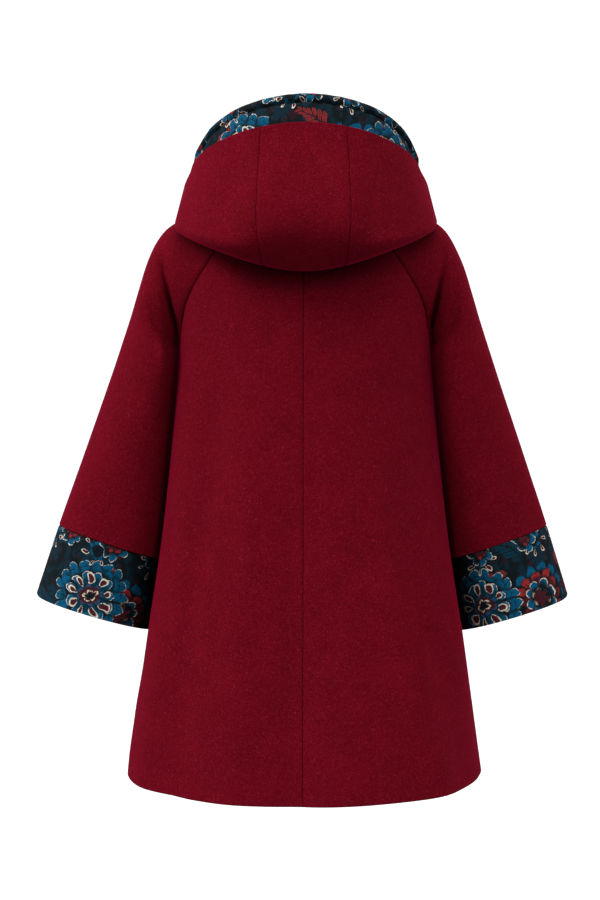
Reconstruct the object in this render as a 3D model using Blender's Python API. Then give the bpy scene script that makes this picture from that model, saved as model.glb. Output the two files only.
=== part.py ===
"""A hooded A-line jacket of felted wool, with raglan sleeves, wide printed cuffs and a lined hood.

It keeps the hollow form that it has when it is worn, with the hood thrown back. X runs to the wearer's
left, the front faces -Y and Z is up. The origin is the middle of the neckline, level with its seam at the
centre back. All sizes are in metres.
"""

from collections import namedtuple
import math

import bpy
import numpy as np

# Cloth
WOOL_WALL = 0.0020
PRINT_WALL = 0.0014
SEAM_GAP = 0.0003
LINING_GAP = 0.0005

# Neckline
NECK_HALF_BREADTH = 0.078
NECK_BACK_DEPTH = 0.065
NECK_FRONT_DEPTH = 0.085
NECK_FRONT_DROP = 0.068
NECK_DROP_POWER = 2.2
NECK_BLEND = 0.040
HOOD_FOOT_GAP = 0.0005

# Body
SECTION_POWER = 2.2
FRONT_LAP = 0.018
LAP_EASE = 0.035
LAP_GAP = 0.0012
SLEEVE_CLEARANCE = 0.0016

# Hood
HOOD_END_ANGLE = 166.0

# How finely the walls are faceted
BODY_COLUMNS = 8
SLEEVE_COLUMNS = 6
CUFF_COLUMNS = 20
HOOD_SIDE_COLUMNS = 15
HOOD_CENTRE_COLUMNS = 4
STEP = 1e-4

Colour = namedtuple("Colour", "red green blue roughness")
WOOL = Colour(0.155, 0.002, 0.014, 0.9)
PRINT = Colour(0.010, 0.030, 0.045, 0.7)

Side = namedtuple("Side", "name sign outer_spread")
SIDES = (
    Side("left", 1, 0.006),
    Side("right", -1, -0.006),
)

# One row for each level of a body panel. drop is how far the row lies below the origin at the centre seam,
# edge_drop the same at the panel's other edge. depth and breadth are the half axes of the section, and
# edge_angle is where the panel ends, from the centre seam at 0 to the side seam at 90. Above the underarm
# that edge is the raglan seam.
BodyRow = namedtuple("BodyRow", "drop edge_drop depth breadth edge_angle")
BACK_ROWS = (
    BodyRow(0.000, 0.0012, 0.0650, 0.0780, 47.0),
    BodyRow(0.050, 0.0520, 0.0885, 0.1400, 50.5),
    BodyRow(0.100, 0.1100, 0.1050, 0.1700, 57.5),
    BodyRow(0.150, 0.1640, 0.1160, 0.1785, 68.5),
    BodyRow(0.200, 0.2080, 0.1220, 0.1795, 79.0),
    BodyRow(0.250, 0.2520, 0.1250, 0.1795, 90.0),
    BodyRow(0.350, 0.3500, 0.1320, 0.1875, 90.0),
    BodyRow(0.500, 0.4990, 0.1460, 0.2000, 90.0),
    BodyRow(0.650, 0.6470, 0.1640, 0.2220, 90.0),
    BodyRow(0.841, 0.8300, 0.1900, 0.2475, 90.0),
)
FRONT_ROWS = (
    BodyRow(0.068, 0.0400, 0.0850, 0.0780, 55.0),
    BodyRow(0.110, 0.0850, 0.1080, 0.1350, 54.0),
    BodyRow(0.150, 0.1330, 0.1250, 0.1660, 59.0),
    BodyRow(0.190, 0.1800, 0.1350, 0.1780, 68.0),
    BodyRow(0.220, 0.2180, 0.1390, 0.1795, 78.5),
    BodyRow(0.250, 0.2520, 0.1410, 0.1795, 90.0),
    BodyRow(0.350, 0.3500, 0.1450, 0.1875, 90.0),
    BodyRow(0.500, 0.4990, 0.1540, 0.2000, 90.0),
    BodyRow(0.650, 0.6470, 0.1670, 0.2220, 90.0),
    BodyRow(0.838, 0.8300, 0.1880, 0.2475, 90.0),
)
# The share of the way from the underarm to the hem of each facet edge across the body
LOWER_LEVELS = (0.105, 0.23, 0.355, 0.48, 0.645, 0.82, 1.0)

# One row for each level of a sleeve, from the neck to the hem of the cuff. back_drop and front_drop name the
# row's point on each raglan seam. outer_x, outer_y and outer_drop are its point on the overarm seam. turn is
# the way that the cloth leaves the raglan seam in plan, from straight out at 0 to straight back at 90, and
# reach is how far it keeps to it. outer_reach is the same at the overarm seam.
SleeveRow = namedtuple(
    "SleeveRow", "back_drop front_drop outer_x outer_y outer_drop turn reach outer_reach"
)
SLEEVE_ROWS = (
    SleeveRow(0.000, 0.068, 0.078, 0.000, 0.015, -37.0, 0.018, 0.018),
    SleeveRow(0.050, 0.110, 0.118, -0.002, 0.030, -30.0, 0.022, 0.030),
    SleeveRow(0.100, 0.150, 0.158, -0.004, 0.048, -22.0, 0.032, 0.042),
    SleeveRow(0.150, 0.190, 0.195, -0.006, 0.069, 2.0, 0.040, 0.056),
    SleeveRow(0.190, 0.212, 0.2185, -0.008, 0.110, 24.0, 0.048, 0.068),
    SleeveRow(0.220, 0.232, 0.2350, -0.010, 0.158, 52.0, 0.062, 0.078),
    SleeveRow(0.250, 0.250, 0.2525, -0.012, 0.205, 90.0, 0.080, 0.086),
    SleeveRow(0.250, 0.250, 0.2765, -0.016, 0.268, 90.0, 0.086, 0.088),
    SleeveRow(0.250, 0.250, 0.3025, -0.022, 0.340, 90.0, 0.086, 0.088),
    SleeveRow(0.250, 0.250, 0.3280, -0.028, 0.415, 90.0, 0.084, 0.086),
    SleeveRow(0.250, 0.250, 0.3500, -0.032, 0.4862, 90.0, 0.082, 0.084),
    SleeveRow(0.250, 0.250, 0.3810, -0.036, 0.5860, 90.0, 0.080, 0.082),
)
UNDERARM_ROW = 6
CUFF_ROW = 10
HEM_ROW = 11
SPREAD_POWER = 3
# The underarm seam beside the body, for the rows from just above the underarm down
UnderarmPoint = namedtuple("UnderarmPoint", "row y drop")
UNDERARM_SEAM = (
    UnderarmPoint(5, 0.004, 0.220),
    UnderarmPoint(6, -0.001, 0.252),
    UnderarmPoint(7, -0.008, 0.312),
    UnderarmPoint(8, -0.015, 0.385),
    UnderarmPoint(9, -0.023, 0.460),
    UnderarmPoint(10, -0.030, 0.535),
    UnderarmPoint(11, -0.035, 0.633),
)
CUFF_INSET = 0.0010
CUFF_LEVELS = 3

# One row for each direction round the neck, from the centre back at 0 to the centre front at 180. Each pair
# is a point of the hood's profile: its distance from the neck's axis and its height. The cloth rises from
# the neck seam, rolls over at its crest, goes down into the pouch, turns at the fold and comes up the outer
# wall to the face edge.
HoodRow = namedtuple(
    "HoodRow",
    "angle rise rise_up crest crest_up inner inner_up fold fold_up outer outer_up edge edge_up",
)
HOOD_ROWS = (
    HoodRow(0, 0.066, 0.055, 0.088, 0.1026, 0.118, -0.050, 0.158, -0.1450, 0.212, -0.072, 0.192, 0.0420),
    HoodRow(20, 0.068, 0.054, 0.093, 0.0990, 0.124, -0.048, 0.166, -0.1370, 0.216, -0.070, 0.198, 0.0345),
    HoodRow(40, 0.074, 0.050, 0.108, 0.0905, 0.138, -0.040, 0.178, -0.1110, 0.213, -0.062, 0.193, 0.0190),
    HoodRow(55, 0.080, 0.044, 0.124, 0.0800, 0.148, -0.030, 0.179, -0.0870, 0.205, -0.058, 0.180, 0.0080),
    HoodRow(66, 0.085, 0.036, 0.140, 0.0620, 0.154, -0.020, 0.171, -0.0760, 0.192, -0.054, 0.167, 0.0010),
    HoodRow(80, 0.090, 0.022, 0.152, 0.0340, 0.158, -0.003, 0.166, -0.0500, 0.182, -0.044, 0.169, -0.0120),
    HoodRow(88, 0.091, 0.014, 0.151, 0.0200, 0.158, 0.000, 0.165, -0.0360, 0.178, -0.037, 0.174, -0.0170),
    HoodRow(96, 0.092, 0.006, 0.148, 0.0090, 0.155, -0.003, 0.162, -0.0250, 0.171, -0.030, 0.174, -0.0220),
    HoodRow(110, 0.092, -0.007, 0.143, -0.004, 0.150, -0.013, 0.156, -0.0270, 0.161, -0.034, 0.166, -0.0350),
    HoodRow(125, 0.092, -0.018, 0.138, -0.018, 0.144, -0.025, 0.149, -0.0330, 0.153, -0.040, 0.156, -0.047),
    HoodRow(150, 0.095, -0.040, 0.124, -0.048, 0.129, -0.055, 0.133, -0.0620, 0.136, -0.069, 0.138, -0.076),
    HoodRow(180, 0.098, -0.062, 0.110, -0.070, 0.114, -0.076, 0.117, -0.0820, 0.119, -0.088, 0.120, -0.094),
)
# Where the seams beside the hood's centre panel lie, at the neck seam and at the six points of the profile
HOOD_SEAM_ANGLES = (31.0, 30.0, 28.0, 22.0, 19.0, 15.5, 16.5)
# The levels of the hood's facets, as places on the profile: 0 at the neck seam, 6 at the face edge
HOOD_LEVELS = (0.0, 0.5, 1.0, 1.4, 1.75, 2.0, 2.25, 2.6, 3.0, 3.4, 3.75, 4.0, 4.25, 4.6, 5.0, 5.5, 6.0)


def column(rows, name):
    return np.array([getattr(row, name) for row in rows], dtype=float)


def smooth(stations, values, at):
    """A smooth curve through the values at the stations, read at some places."""
    stations = np.asarray(stations, dtype=float)
    values = np.asarray(values, dtype=float)
    slopes = np.gradient(values, stations)
    left = np.clip(np.searchsorted(stations, at, side="right") - 1, 0, len(stations) - 2)
    span = stations[left + 1] - stations[left]
    t = (at - stations[left]) / span
    return (
        (1 + 2 * t) * (1 - t) ** 2 * values[left]
        + t * (1 - t) ** 2 * span * slopes[left]
        + t * t * (3 - 2 * t) * values[left + 1]
        + t * t * (t - 1) * span * slopes[left + 1]
    )


def section_reach(angle, breadth, depth):
    """How far a section's edge is from its middle, in a direction given in radians from the centre seam."""
    return (
        (np.abs(np.sin(angle)) / breadth) ** SECTION_POWER + (np.abs(np.cos(angle)) / depth) ** SECTION_POWER
    ) ** (-1 / SECTION_POWER)


def neck_point(angle):
    """A point of the neck seam, the angle running from the centre back at 0 to the centre front at pi."""
    depth = np.where(np.cos(angle) > 0, NECK_BACK_DEPTH, NECK_FRONT_DEPTH)
    reach = section_reach(angle, NECK_HALF_BREADTH, depth)
    height = -NECK_FRONT_DROP * ((1 - np.cos(angle)) / 2) ** NECK_DROP_POWER
    return np.stack([reach * np.sin(angle), reach * np.cos(angle), height], axis=-1)


def body_point(rows, across, drop, lap=0.0):
    """A point of a body panel: across runs from the centre seam at 0 to the other edge at 1, and drop is how
    far its row lies below the origin at the centre seam. A lap carries the panel past the centre seam."""
    drops = column(rows, "drop")
    depth, breadth, edge_angle, edge_drop = (
        smooth(drops, column(rows, name), drop) for name in ("depth", "breadth", "edge_angle", "edge_drop")
    )
    edge = np.radians(np.minimum(edge_angle, 90))
    start = -lap / depth
    angle = start + (edge - start) * across
    reach = section_reach(angle, breadth, depth)
    bow = np.clip(angle / edge, 0, None) ** 2
    height = -drop + (drop - edge_drop) * bow
    # The top edge is the neck seam itself.
    top = rows[0]
    from_back = np.abs(angle) if rows is BACK_ROWS else math.pi - np.abs(angle)
    to_seam = neck_point(from_back)[..., 2] + top.drop - (top.drop - top.edge_drop) * bow
    height = height + to_seam * np.clip(1 - (drop - top.drop) / NECK_BLEND, 0, 1) ** 2
    return np.stack([reach * np.sin(angle), reach * np.cos(angle), height], axis=-1)


def back_surface(across, drop):
    return body_point(BACK_ROWS, across, drop)


def front_surface(across, drop):
    return body_point(FRONT_ROWS, across, drop, FRONT_LAP) * (1, -1, 1)


def side_breadth(y, drop):
    """How far out the body's side is at a depth and a drop."""

    def read(rows, name):
        return smooth(column(rows, "edge_drop"), column(rows, name), drop)

    depth = np.where(y > 0, read(BACK_ROWS, "depth"), read(FRONT_ROWS, "depth"))
    inside = np.clip(np.abs(y) / depth, 0, 1)
    return read(BACK_ROWS, "breadth") * (1 - inside**SECTION_POWER) ** (1 / SECTION_POWER)


def underarm_point(row):
    """The underarm seam, just clear of the body's side."""
    rows = column(UNDERARM_SEAM, "row")
    y = smooth(rows, column(UNDERARM_SEAM, "y"), row)
    drop = smooth(rows, column(UNDERARM_SEAM, "drop"), row)
    return np.stack([side_breadth(y, drop) + SLEEVE_CLEARANCE, y, -drop], axis=-1)


def sleeve_curve(across, row, face):
    """A point of half a sleeve as its table gives it, before its top edge is drawn to the neck seam."""
    stations = np.arange(len(SLEEVE_ROWS), dtype=float)

    def read(name):
        return smooth(stations, column(SLEEVE_ROWS, name), row)

    panel, drop_name = (BACK_ROWS, "back_drop") if face > 0 else (FRONT_ROWS, "front_drop")
    drop = np.interp(row, stations, column(SLEEVE_ROWS, drop_name))
    raglan = body_point(panel, np.ones_like(drop), drop) * (1, face, 1)
    below = np.clip(row - (UNDERARM_ROW - 1), 0, 1)
    below = (below * below * (3 - 2 * below))[..., None]
    inner = raglan * (1 - below) + underarm_point(row) * below
    outer = np.stack([read("outer_x"), read("outer_y"), -read("outer_drop")], axis=-1)
    turn = np.radians(read("turn"))
    span = outer - inner
    climb = np.clip(np.cos(turn), 0, 1) * span[..., 2] / np.linalg.norm(span, axis=-1)
    leave = np.stack([np.cos(turn), face * np.sin(turn), climb], axis=-1)
    inner_handle = inner + read("reach")[..., None] * leave
    outer_handle = outer + read("outer_reach")[..., None] * np.array((0.0, face, 0.0))
    t = across[..., None]
    return (
        (1 - t) ** 3 * outer
        + 3 * t * (1 - t) ** 2 * outer_handle
        + 3 * t * t * (1 - t) * inner_handle
        + t**3 * inner
    )


def sleeve_surface(across, row, face, outer_spread):
    """A point of half a sleeve, face 1 for the back half and -1 for the front one. across runs from the
    overarm seam at 0 to the raglan seam, or below it the underarm seam, at 1."""
    points = sleeve_curve(across, row, face)
    seam_end = math.radians(BACK_ROWS[0].edge_angle if face > 0 else 180 - FRONT_ROWS[0].edge_angle)
    neck = neck_point(math.pi / 2 + (seam_end - math.pi / 2) * across)
    to_neck = neck - sleeve_curve(across, row * 0, face)
    points = points + to_neck * (np.clip(1 - row, 0, 1) ** 2)[..., None]
    spread = outer_spread * np.clip(row / HEM_ROW, 0, None) ** SPREAD_POWER * (1 - across)
    return points + np.stack([spread, 0 * spread, 0 * spread], axis=-1)


def hood_profile(angle):
    """The seven points of the hood's profile in a direction, as an array of (distance, height)."""
    stations = column(HOOD_ROWS, "angle")
    degrees = np.degrees(np.abs(angle))
    seam = neck_point(angle)
    points = [np.stack([np.hypot(seam[..., 0], seam[..., 1]), seam[..., 2] + HOOD_FOOT_GAP], axis=-1)]
    for name in ("rise", "crest", "inner", "fold", "outer", "edge"):
        out = smooth(stations, column(HOOD_ROWS, name), degrees)
        up = smooth(stations, column(HOOD_ROWS, name + "_up"), degrees)
        points.append(np.stack([out, up], axis=-1))
    return np.stack(points)


def hood_point(angle, place):
    """A point of the hood's cloth, place being 0 at the neck seam and 6 at the face edge."""
    points = hood_profile(angle)
    steps = np.linalg.norm(np.diff(points, axis=0), axis=-1)
    speeds = np.diff(points, axis=0) / steps[..., None]
    slopes = [speeds[0] * steps[0][..., None]]
    for k in range(1, len(points) - 1):
        before, after = steps[k - 1][..., None], steps[k][..., None]
        slopes.append((speeds[k - 1] * after + speeds[k] * before) / (before + after))
    slopes[0] = np.stack([np.zeros_like(angle), np.ones_like(angle)], axis=-1)
    slopes.append(speeds[-1])
    slopes = np.stack(slopes)
    left = np.clip(np.floor(place).astype(int), 0, len(points) - 2)
    t = (place - left)[..., None]

    def pick(values, index):
        return np.take_along_axis(values, index[None, ..., None], axis=0)[0]

    span = np.take_along_axis(steps, left[None], axis=0)[0][..., None]
    flat = (
        (1 + 2 * t) * (1 - t) ** 2 * pick(points, left)
        + t * (1 - t) ** 2 * span * pick(slopes, left)
        + t * t * (3 - 2 * t) * pick(points, left + 1)
        + t * t * (t - 1) * span * pick(slopes, left + 1)
    )
    return np.stack([flat[..., 0] * np.sin(angle), flat[..., 0] * np.cos(angle), flat[..., 1]], axis=-1)


def hood_seam_angle(place):
    return np.radians(smooth(np.arange(len(HOOD_SEAM_ANGLES)), HOOD_SEAM_ANGLES, place))


def hood_side_surface(across, place):
    """The hood's side panel, across being 0 at the seam beside the centre panel and 1 at the centre front."""
    start = hood_seam_angle(place)
    return hood_point(start + (math.radians(HOOD_END_ANGLE) - start) * across, place)


def hood_centre_surface(across, place):
    """The hood's centre panel, across running from -1 to 1."""
    return hood_point(hood_seam_angle(place) * across, place)


def grid_of(surface, across, along):
    """The points and the unit normals of a surface on a grid of places. The normals turn to the other side
    where the places across run downwards."""
    u, v = np.meshgrid(across, along, indexing="ij")
    points = surface(u, v)
    step = math.copysign(STEP, across[-1] - across[0])
    by_u = surface(u + step, v) - surface(u - step, v)
    by_v = surface(u, v + STEP) - surface(u, v - STEP)
    normals = np.cross(by_v, by_u)
    return points, normals / np.linalg.norm(normals, axis=-1, keepdims=True)


def drawn_in(points, first=True, last=True):
    """The grid with half a seam's gap taken off its first and last columns."""
    points = points.copy()
    for wanted, edge, beside in ((first, 0, 1), (last, -1, -2)):
        if wanted:
            inward = points[beside] - points[edge]
            points[edge] += SEAM_GAP / 2 * inward / np.linalg.norm(inward, axis=-1, keepdims=True)
    return points


def wall(name, front, back, finish, ring=False):
    """A closed wall between two grids of points, whose outer face is front. A ring's first column joins its
    last."""
    columns, rows = front.shape[:2]
    vertices = np.concatenate([front.reshape(-1, 3), back.reshape(-1, 3)])
    offset = columns * rows

    def at(i, j, layer=0):
        return (i % columns) * rows + j + layer * offset

    faces = []
    for i in range(columns if ring else columns - 1):
        for j in range(rows - 1):
            faces.append((at(i, j), at(i, j + 1), at(i + 1, j + 1), at(i + 1, j)))
            faces.append((at(i, j, 1), at(i + 1, j, 1), at(i + 1, j + 1, 1), at(i, j + 1, 1)))
        faces.append((at(i, 0), at(i + 1, 0), at(i + 1, 0, 1), at(i, 0, 1)))
        faces.append((at(i, rows - 1), at(i, rows - 1, 1), at(i + 1, rows - 1, 1), at(i + 1, rows - 1)))
    if not ring:
        last = columns - 1
        for j in range(rows - 1):
            faces.append((at(0, j), at(0, j, 1), at(0, j + 1, 1), at(0, j + 1)))
            faces.append((at(last, j), at(last, j + 1), at(last, j + 1, 1), at(last, j, 1)))
    mesh = bpy.data.meshes.new(name)
    mesh.from_pydata(vertices.tolist(), [], faces)
    mesh.materials.append(material(name, finish))
    mesh.shade_smooth()
    mesh.set_sharp_from_angle(angle=math.radians(40))
    piece = bpy.data.objects.new(name, mesh)
    bpy.context.collection.objects.link(piece)
    return piece


def material(name, finish):
    made = bpy.data.materials.new(name)
    made.use_nodes = True
    shader = made.node_tree.nodes["Principled BSDF"]
    shader.inputs["Base Color"].default_value = (finish.red, finish.green, finish.blue, 1)
    shader.inputs["Roughness"].default_value = finish.roughness
    shader.inputs["Metallic"].default_value = 0.0
    return made


def sided(front, back, sign):
    """The two grids on the wearer's left, or mirrored to the right with their columns turned round."""
    if sign > 0:
        return front, back
    mirror = np.array((-1, 1, 1))
    return front[::-1] * mirror, back[::-1] * mirror


def lap_lift(points, normals):
    """The wearer's right front, moved level until it is clear of the left one where it laps over it."""
    near = np.clip((LAP_EASE + FRONT_LAP - points[..., 0]) / LAP_EASE, 0, 1)
    lift = (WOOL_WALL + LAP_GAP) * near * near * (3 - 2 * near)
    level = normals * (1, 1, 0)
    return points + lift[..., None] * level / (level**2).sum(axis=-1, keepdims=True)


def body_drops(rows, sleeve_column):
    """The drops of a body panel's facet edges, which meet the sleeve's along the raglan seam."""
    upper = sorted(set(column(SLEEVE_ROWS, sleeve_column)))
    hem = rows[-1].drop
    return np.array(upper + [upper[-1] + (hem - upper[-1]) * share for share in LOWER_LEVELS])


def make_body():
    across = np.linspace(0, 1, BODY_COLUMNS + 1)
    points, normals = grid_of(back_surface, across[::-1], body_drops(BACK_ROWS, "back_drop"))
    for side in SIDES:
        outer, inner = (drawn_in(grid) for grid in (points, points - WOOL_WALL * normals))
        wall(f"back_{side.name}", *sided(outer, inner, side.sign), WOOL)
    points, normals = grid_of(front_surface, across, body_drops(FRONT_ROWS, "front_drop"))
    for side in SIDES:
        top = lap_lift(points, normals) if side.name == "right" else points
        outer, inner = (drawn_in(grid, first=False) for grid in (top, top - WOOL_WALL * normals))
        wall(f"front_{side.name}", *sided(outer, inner, side.sign), WOOL)


def sleeve_grid(side, face, across, rows):
    """The points and the outward normals of half a sleeve."""
    return grid_of(lambda u, v: sleeve_surface(u, v, face, side.outer_spread), across, rows)


def make_sleeves():
    across = np.linspace(0, 1, SLEEVE_COLUMNS + 1)
    rows = np.arange(CUFF_ROW + 1.0)
    for side in SIDES:
        for face, half in ((1, "back"), (-1, "front")):
            points, normals = sleeve_grid(side, face, across[::face], rows)
            outer, inner = (drawn_in(grid) for grid in (points, points - WOOL_WALL * normals))
            wall(f"sleeve_{half}_{side.name}", *sided(outer, inner, side.sign), WOOL)


def make_cuffs():
    places = np.linspace(0, 1, CUFF_COLUMNS // 2 + 1)[:-1]
    band = SLEEVE_ROWS[HEM_ROW].outer_drop - SLEEVE_ROWS[CUFF_ROW].outer_drop
    rows = np.linspace(CUFF_ROW + SEAM_GAP / band, HEM_ROW, CUFF_LEVELS)
    for side in SIDES:
        back, back_normals = sleeve_grid(side, 1, places, rows)
        front, front_normals = sleeve_grid(side, -1, 1 - places, rows)
        points = np.concatenate([back, front])
        normals = np.concatenate([back_normals, front_normals])
        outer = points - CUFF_INSET * normals
        wall(f"cuff_{side.name}", *sided(outer, outer - PRINT_WALL * normals, side.sign), PRINT, ring=True)


def make_hood():
    places = np.array(HOOD_LEVELS)
    layers = (
        ("hood", WOOL, 0.0, WOOL_WALL),
        ("hood_lining", PRINT, -LINING_GAP - PRINT_WALL, -LINING_GAP),
    )
    across = np.linspace(0, 1, HOOD_SIDE_COLUMNS + 1)
    points, normals = grid_of(hood_side_surface, across, places)
    middle_across = np.linspace(-1, 1, HOOD_CENTRE_COLUMNS + 1)
    middle, middle_normals = grid_of(hood_centre_surface, middle_across, places)
    for name, finish, low, high in layers:
        for side in SIDES:
            outer, inner = (drawn_in(points + layer * normals, last=False) for layer in (high, low))
            wall(f"{name}_{side.name}", *sided(outer, inner, side.sign), finish)
        outer, inner = (drawn_in(middle + layer * middle_normals) for layer in (high, low))
        wall(f"{name}_centre", outer, inner, finish)


def main():
    for old in list(bpy.data.objects):
        bpy.data.objects.remove(old)
    make_body()
    make_sleeves()
    make_cuffs()
    make_hood()


main()
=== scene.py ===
"""The looks of a hooded A-line jacket of felted wool, with wide printed cuffs and a printed hood lining.

Every piece of cloth is a thin closed shell on the form of its solid in the frame: X to the wearer's left,
front towards -Y, Z up, the origin on the neck's axis as high as the centre-back neckline, sizes in metres.
"""

from collections import namedtuple
import math

import bpy
from bpy.props import FloatProperty, FloatVectorProperty, PointerProperty
from bpy.types import Operator, Panel, PropertyGroup
import numpy as np
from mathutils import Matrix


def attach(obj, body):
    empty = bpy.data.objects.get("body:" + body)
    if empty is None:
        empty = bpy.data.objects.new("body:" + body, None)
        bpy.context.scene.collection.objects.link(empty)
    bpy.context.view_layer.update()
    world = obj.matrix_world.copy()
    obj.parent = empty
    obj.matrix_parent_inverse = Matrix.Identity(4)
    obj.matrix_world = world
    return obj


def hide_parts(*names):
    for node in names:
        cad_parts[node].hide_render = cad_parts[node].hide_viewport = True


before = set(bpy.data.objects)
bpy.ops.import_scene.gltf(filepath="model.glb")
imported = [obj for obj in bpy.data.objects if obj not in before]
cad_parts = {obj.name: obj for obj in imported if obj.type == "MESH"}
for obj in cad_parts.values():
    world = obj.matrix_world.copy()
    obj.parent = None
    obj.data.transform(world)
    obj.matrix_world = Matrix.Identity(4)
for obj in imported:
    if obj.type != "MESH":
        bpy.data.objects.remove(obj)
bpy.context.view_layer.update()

bl_info = {
    "name": "Hooded felt jacket",
    "version": (1, 0, 0),
    "blender": (4, 5, 0),
    "location": "3D View > Sidebar > Jacket",
    "description": "Makes the cloth, the finishes and the studio of a hooded felt jacket",
    "category": "Add Mesh",
}

BODY = "root"
CLOTH_UV = "cloth"
# The body's and sleeves' wool carries a painted shadow under the hood, and the hood's wool is the same
# without it
BODY_WOOL_WITH_PAINTED_SHADOW = "Crimson felted wool"
HOOD_WOOL = "Crimson felted wool of the hood"
PRINT = "Printed cotton"

# ---------------------------------------------------------------------------------------------------------
# The garment's form, as its solids have it but for the hood's profile, which is up to 11 mm off them
# ---------------------------------------------------------------------------------------------------------

NECK_HALF_BREADTH = 0.078
NECK_BACK_DEPTH = 0.065
NECK_FRONT_DEPTH = 0.085
NECK_FRONT_DROP = 0.068
NECK_DROP_POWER = 2.2
NECK_BLEND = 0.040
SECTION_POWER = 2.2
FRONT_LAP = 0.018
LAP_EASE = 0.035
LAP_LIFT = 0.0032
SLEEVE_CLEARANCE = 0.0016
HOOD_END_ANGLE = 166.0

# drop is how far a row lies below the origin at the centre seam and edge_drop the same at the panel's other
# edge. depth and breadth are the section's half axes, and edge_angle is where the panel ends, 90 being the
# side seam. Above the underarm that edge is the raglan seam.
BodyRow = namedtuple("BodyRow", "drop edge_drop depth breadth edge_angle")
BACK_ROWS = (
    BodyRow(0.000, 0.0012, 0.0650, 0.0780, 47.0),
    BodyRow(0.050, 0.0520, 0.0885, 0.1400, 50.5),
    BodyRow(0.100, 0.1100, 0.1050, 0.1700, 57.5),
    BodyRow(0.150, 0.1640, 0.1160, 0.1785, 68.5),
    BodyRow(0.200, 0.2080, 0.1220, 0.1755, 79.0),
    BodyRow(0.250, 0.2520, 0.1250, 0.1765, 90.0),
    BodyRow(0.350, 0.3500, 0.1320, 0.1845, 90.0),
    BodyRow(0.500, 0.4990, 0.1460, 0.2000, 90.0),
    BodyRow(0.650, 0.6470, 0.1640, 0.2220, 90.0),
    BodyRow(0.841, 0.8300, 0.1900, 0.2475, 90.0),
)
FRONT_ROWS = (
    BodyRow(0.068, 0.0400, 0.0850, 0.0780, 55.0),
    BodyRow(0.110, 0.0850, 0.1080, 0.1350, 54.0),
    BodyRow(0.150, 0.1330, 0.1250, 0.1660, 59.0),
    BodyRow(0.190, 0.1800, 0.1350, 0.1780, 68.0),
    BodyRow(0.220, 0.2180, 0.1390, 0.1758, 78.5),
    BodyRow(0.250, 0.2520, 0.1410, 0.1765, 90.0),
    BodyRow(0.350, 0.3500, 0.1450, 0.1845, 90.0),
    BodyRow(0.500, 0.4990, 0.1540, 0.2000, 90.0),
    BodyRow(0.650, 0.6470, 0.1670, 0.2220, 90.0),
    BodyRow(0.838, 0.8300, 0.1880, 0.2475, 90.0),
)

# back_drop and front_drop name a row's point on each raglan seam, and outer_x, outer_y and outer_drop its
# point on the overarm seam. turn is the way that the cloth leaves the raglan seam in plan, and reach is how
# far it keeps to it. outer_reach is the same at the overarm seam.
SleeveRow = namedtuple(
    "SleeveRow", "back_drop front_drop outer_x outer_y outer_drop turn reach outer_reach"
)
SLEEVE_ROWS = (
    SleeveRow(0.000, 0.068, 0.078, 0.000, 0.015, -37.0, 0.018, 0.018),
    SleeveRow(0.050, 0.110, 0.118, -0.002, 0.030, -30.0, 0.022, 0.030),
    SleeveRow(0.100, 0.150, 0.158, -0.004, 0.048, -22.0, 0.032, 0.042),
    SleeveRow(0.150, 0.190, 0.195, -0.006, 0.069, 2.0, 0.040, 0.056),
    SleeveRow(0.190, 0.212, 0.2185, -0.008, 0.110, 24.0, 0.048, 0.068),
    SleeveRow(0.220, 0.232, 0.2345, -0.010, 0.158, 52.0, 0.062, 0.078),
    SleeveRow(0.250, 0.250, 0.2500, -0.012, 0.205, 90.0, 0.098, 0.072),
    SleeveRow(0.250, 0.250, 0.2710, -0.016, 0.268, 90.0, 0.106, 0.072),
    SleeveRow(0.250, 0.250, 0.2965, -0.022, 0.340, 90.0, 0.094, 0.080),
    SleeveRow(0.250, 0.250, 0.3230, -0.028, 0.415, 90.0, 0.084, 0.086),
    SleeveRow(0.250, 0.250, 0.3480, -0.032, 0.4862, 90.0, 0.082, 0.084),
    SleeveRow(0.250, 0.250, 0.3810, -0.036, 0.5880, 90.0, 0.080, 0.082),
)
UNDERARM_ROW = 6
CUFF_ROW = 10
HEM_ROW = 11
SPREAD_POWER = 3
OUTER_SPREAD = {1: 0.006, -1: -0.006}
UnderarmPoint = namedtuple("UnderarmPoint", "row y drop")
UNDERARM_SEAM = (
    UnderarmPoint(5, 0.004, 0.220),
    UnderarmPoint(6, -0.001, 0.252),
    UnderarmPoint(7, -0.008, 0.312),
    UnderarmPoint(8, -0.015, 0.385),
    UnderarmPoint(9, -0.023, 0.460),
    UnderarmPoint(10, -0.030, 0.535),
    UnderarmPoint(11, -0.035, 0.637),
)

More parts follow.
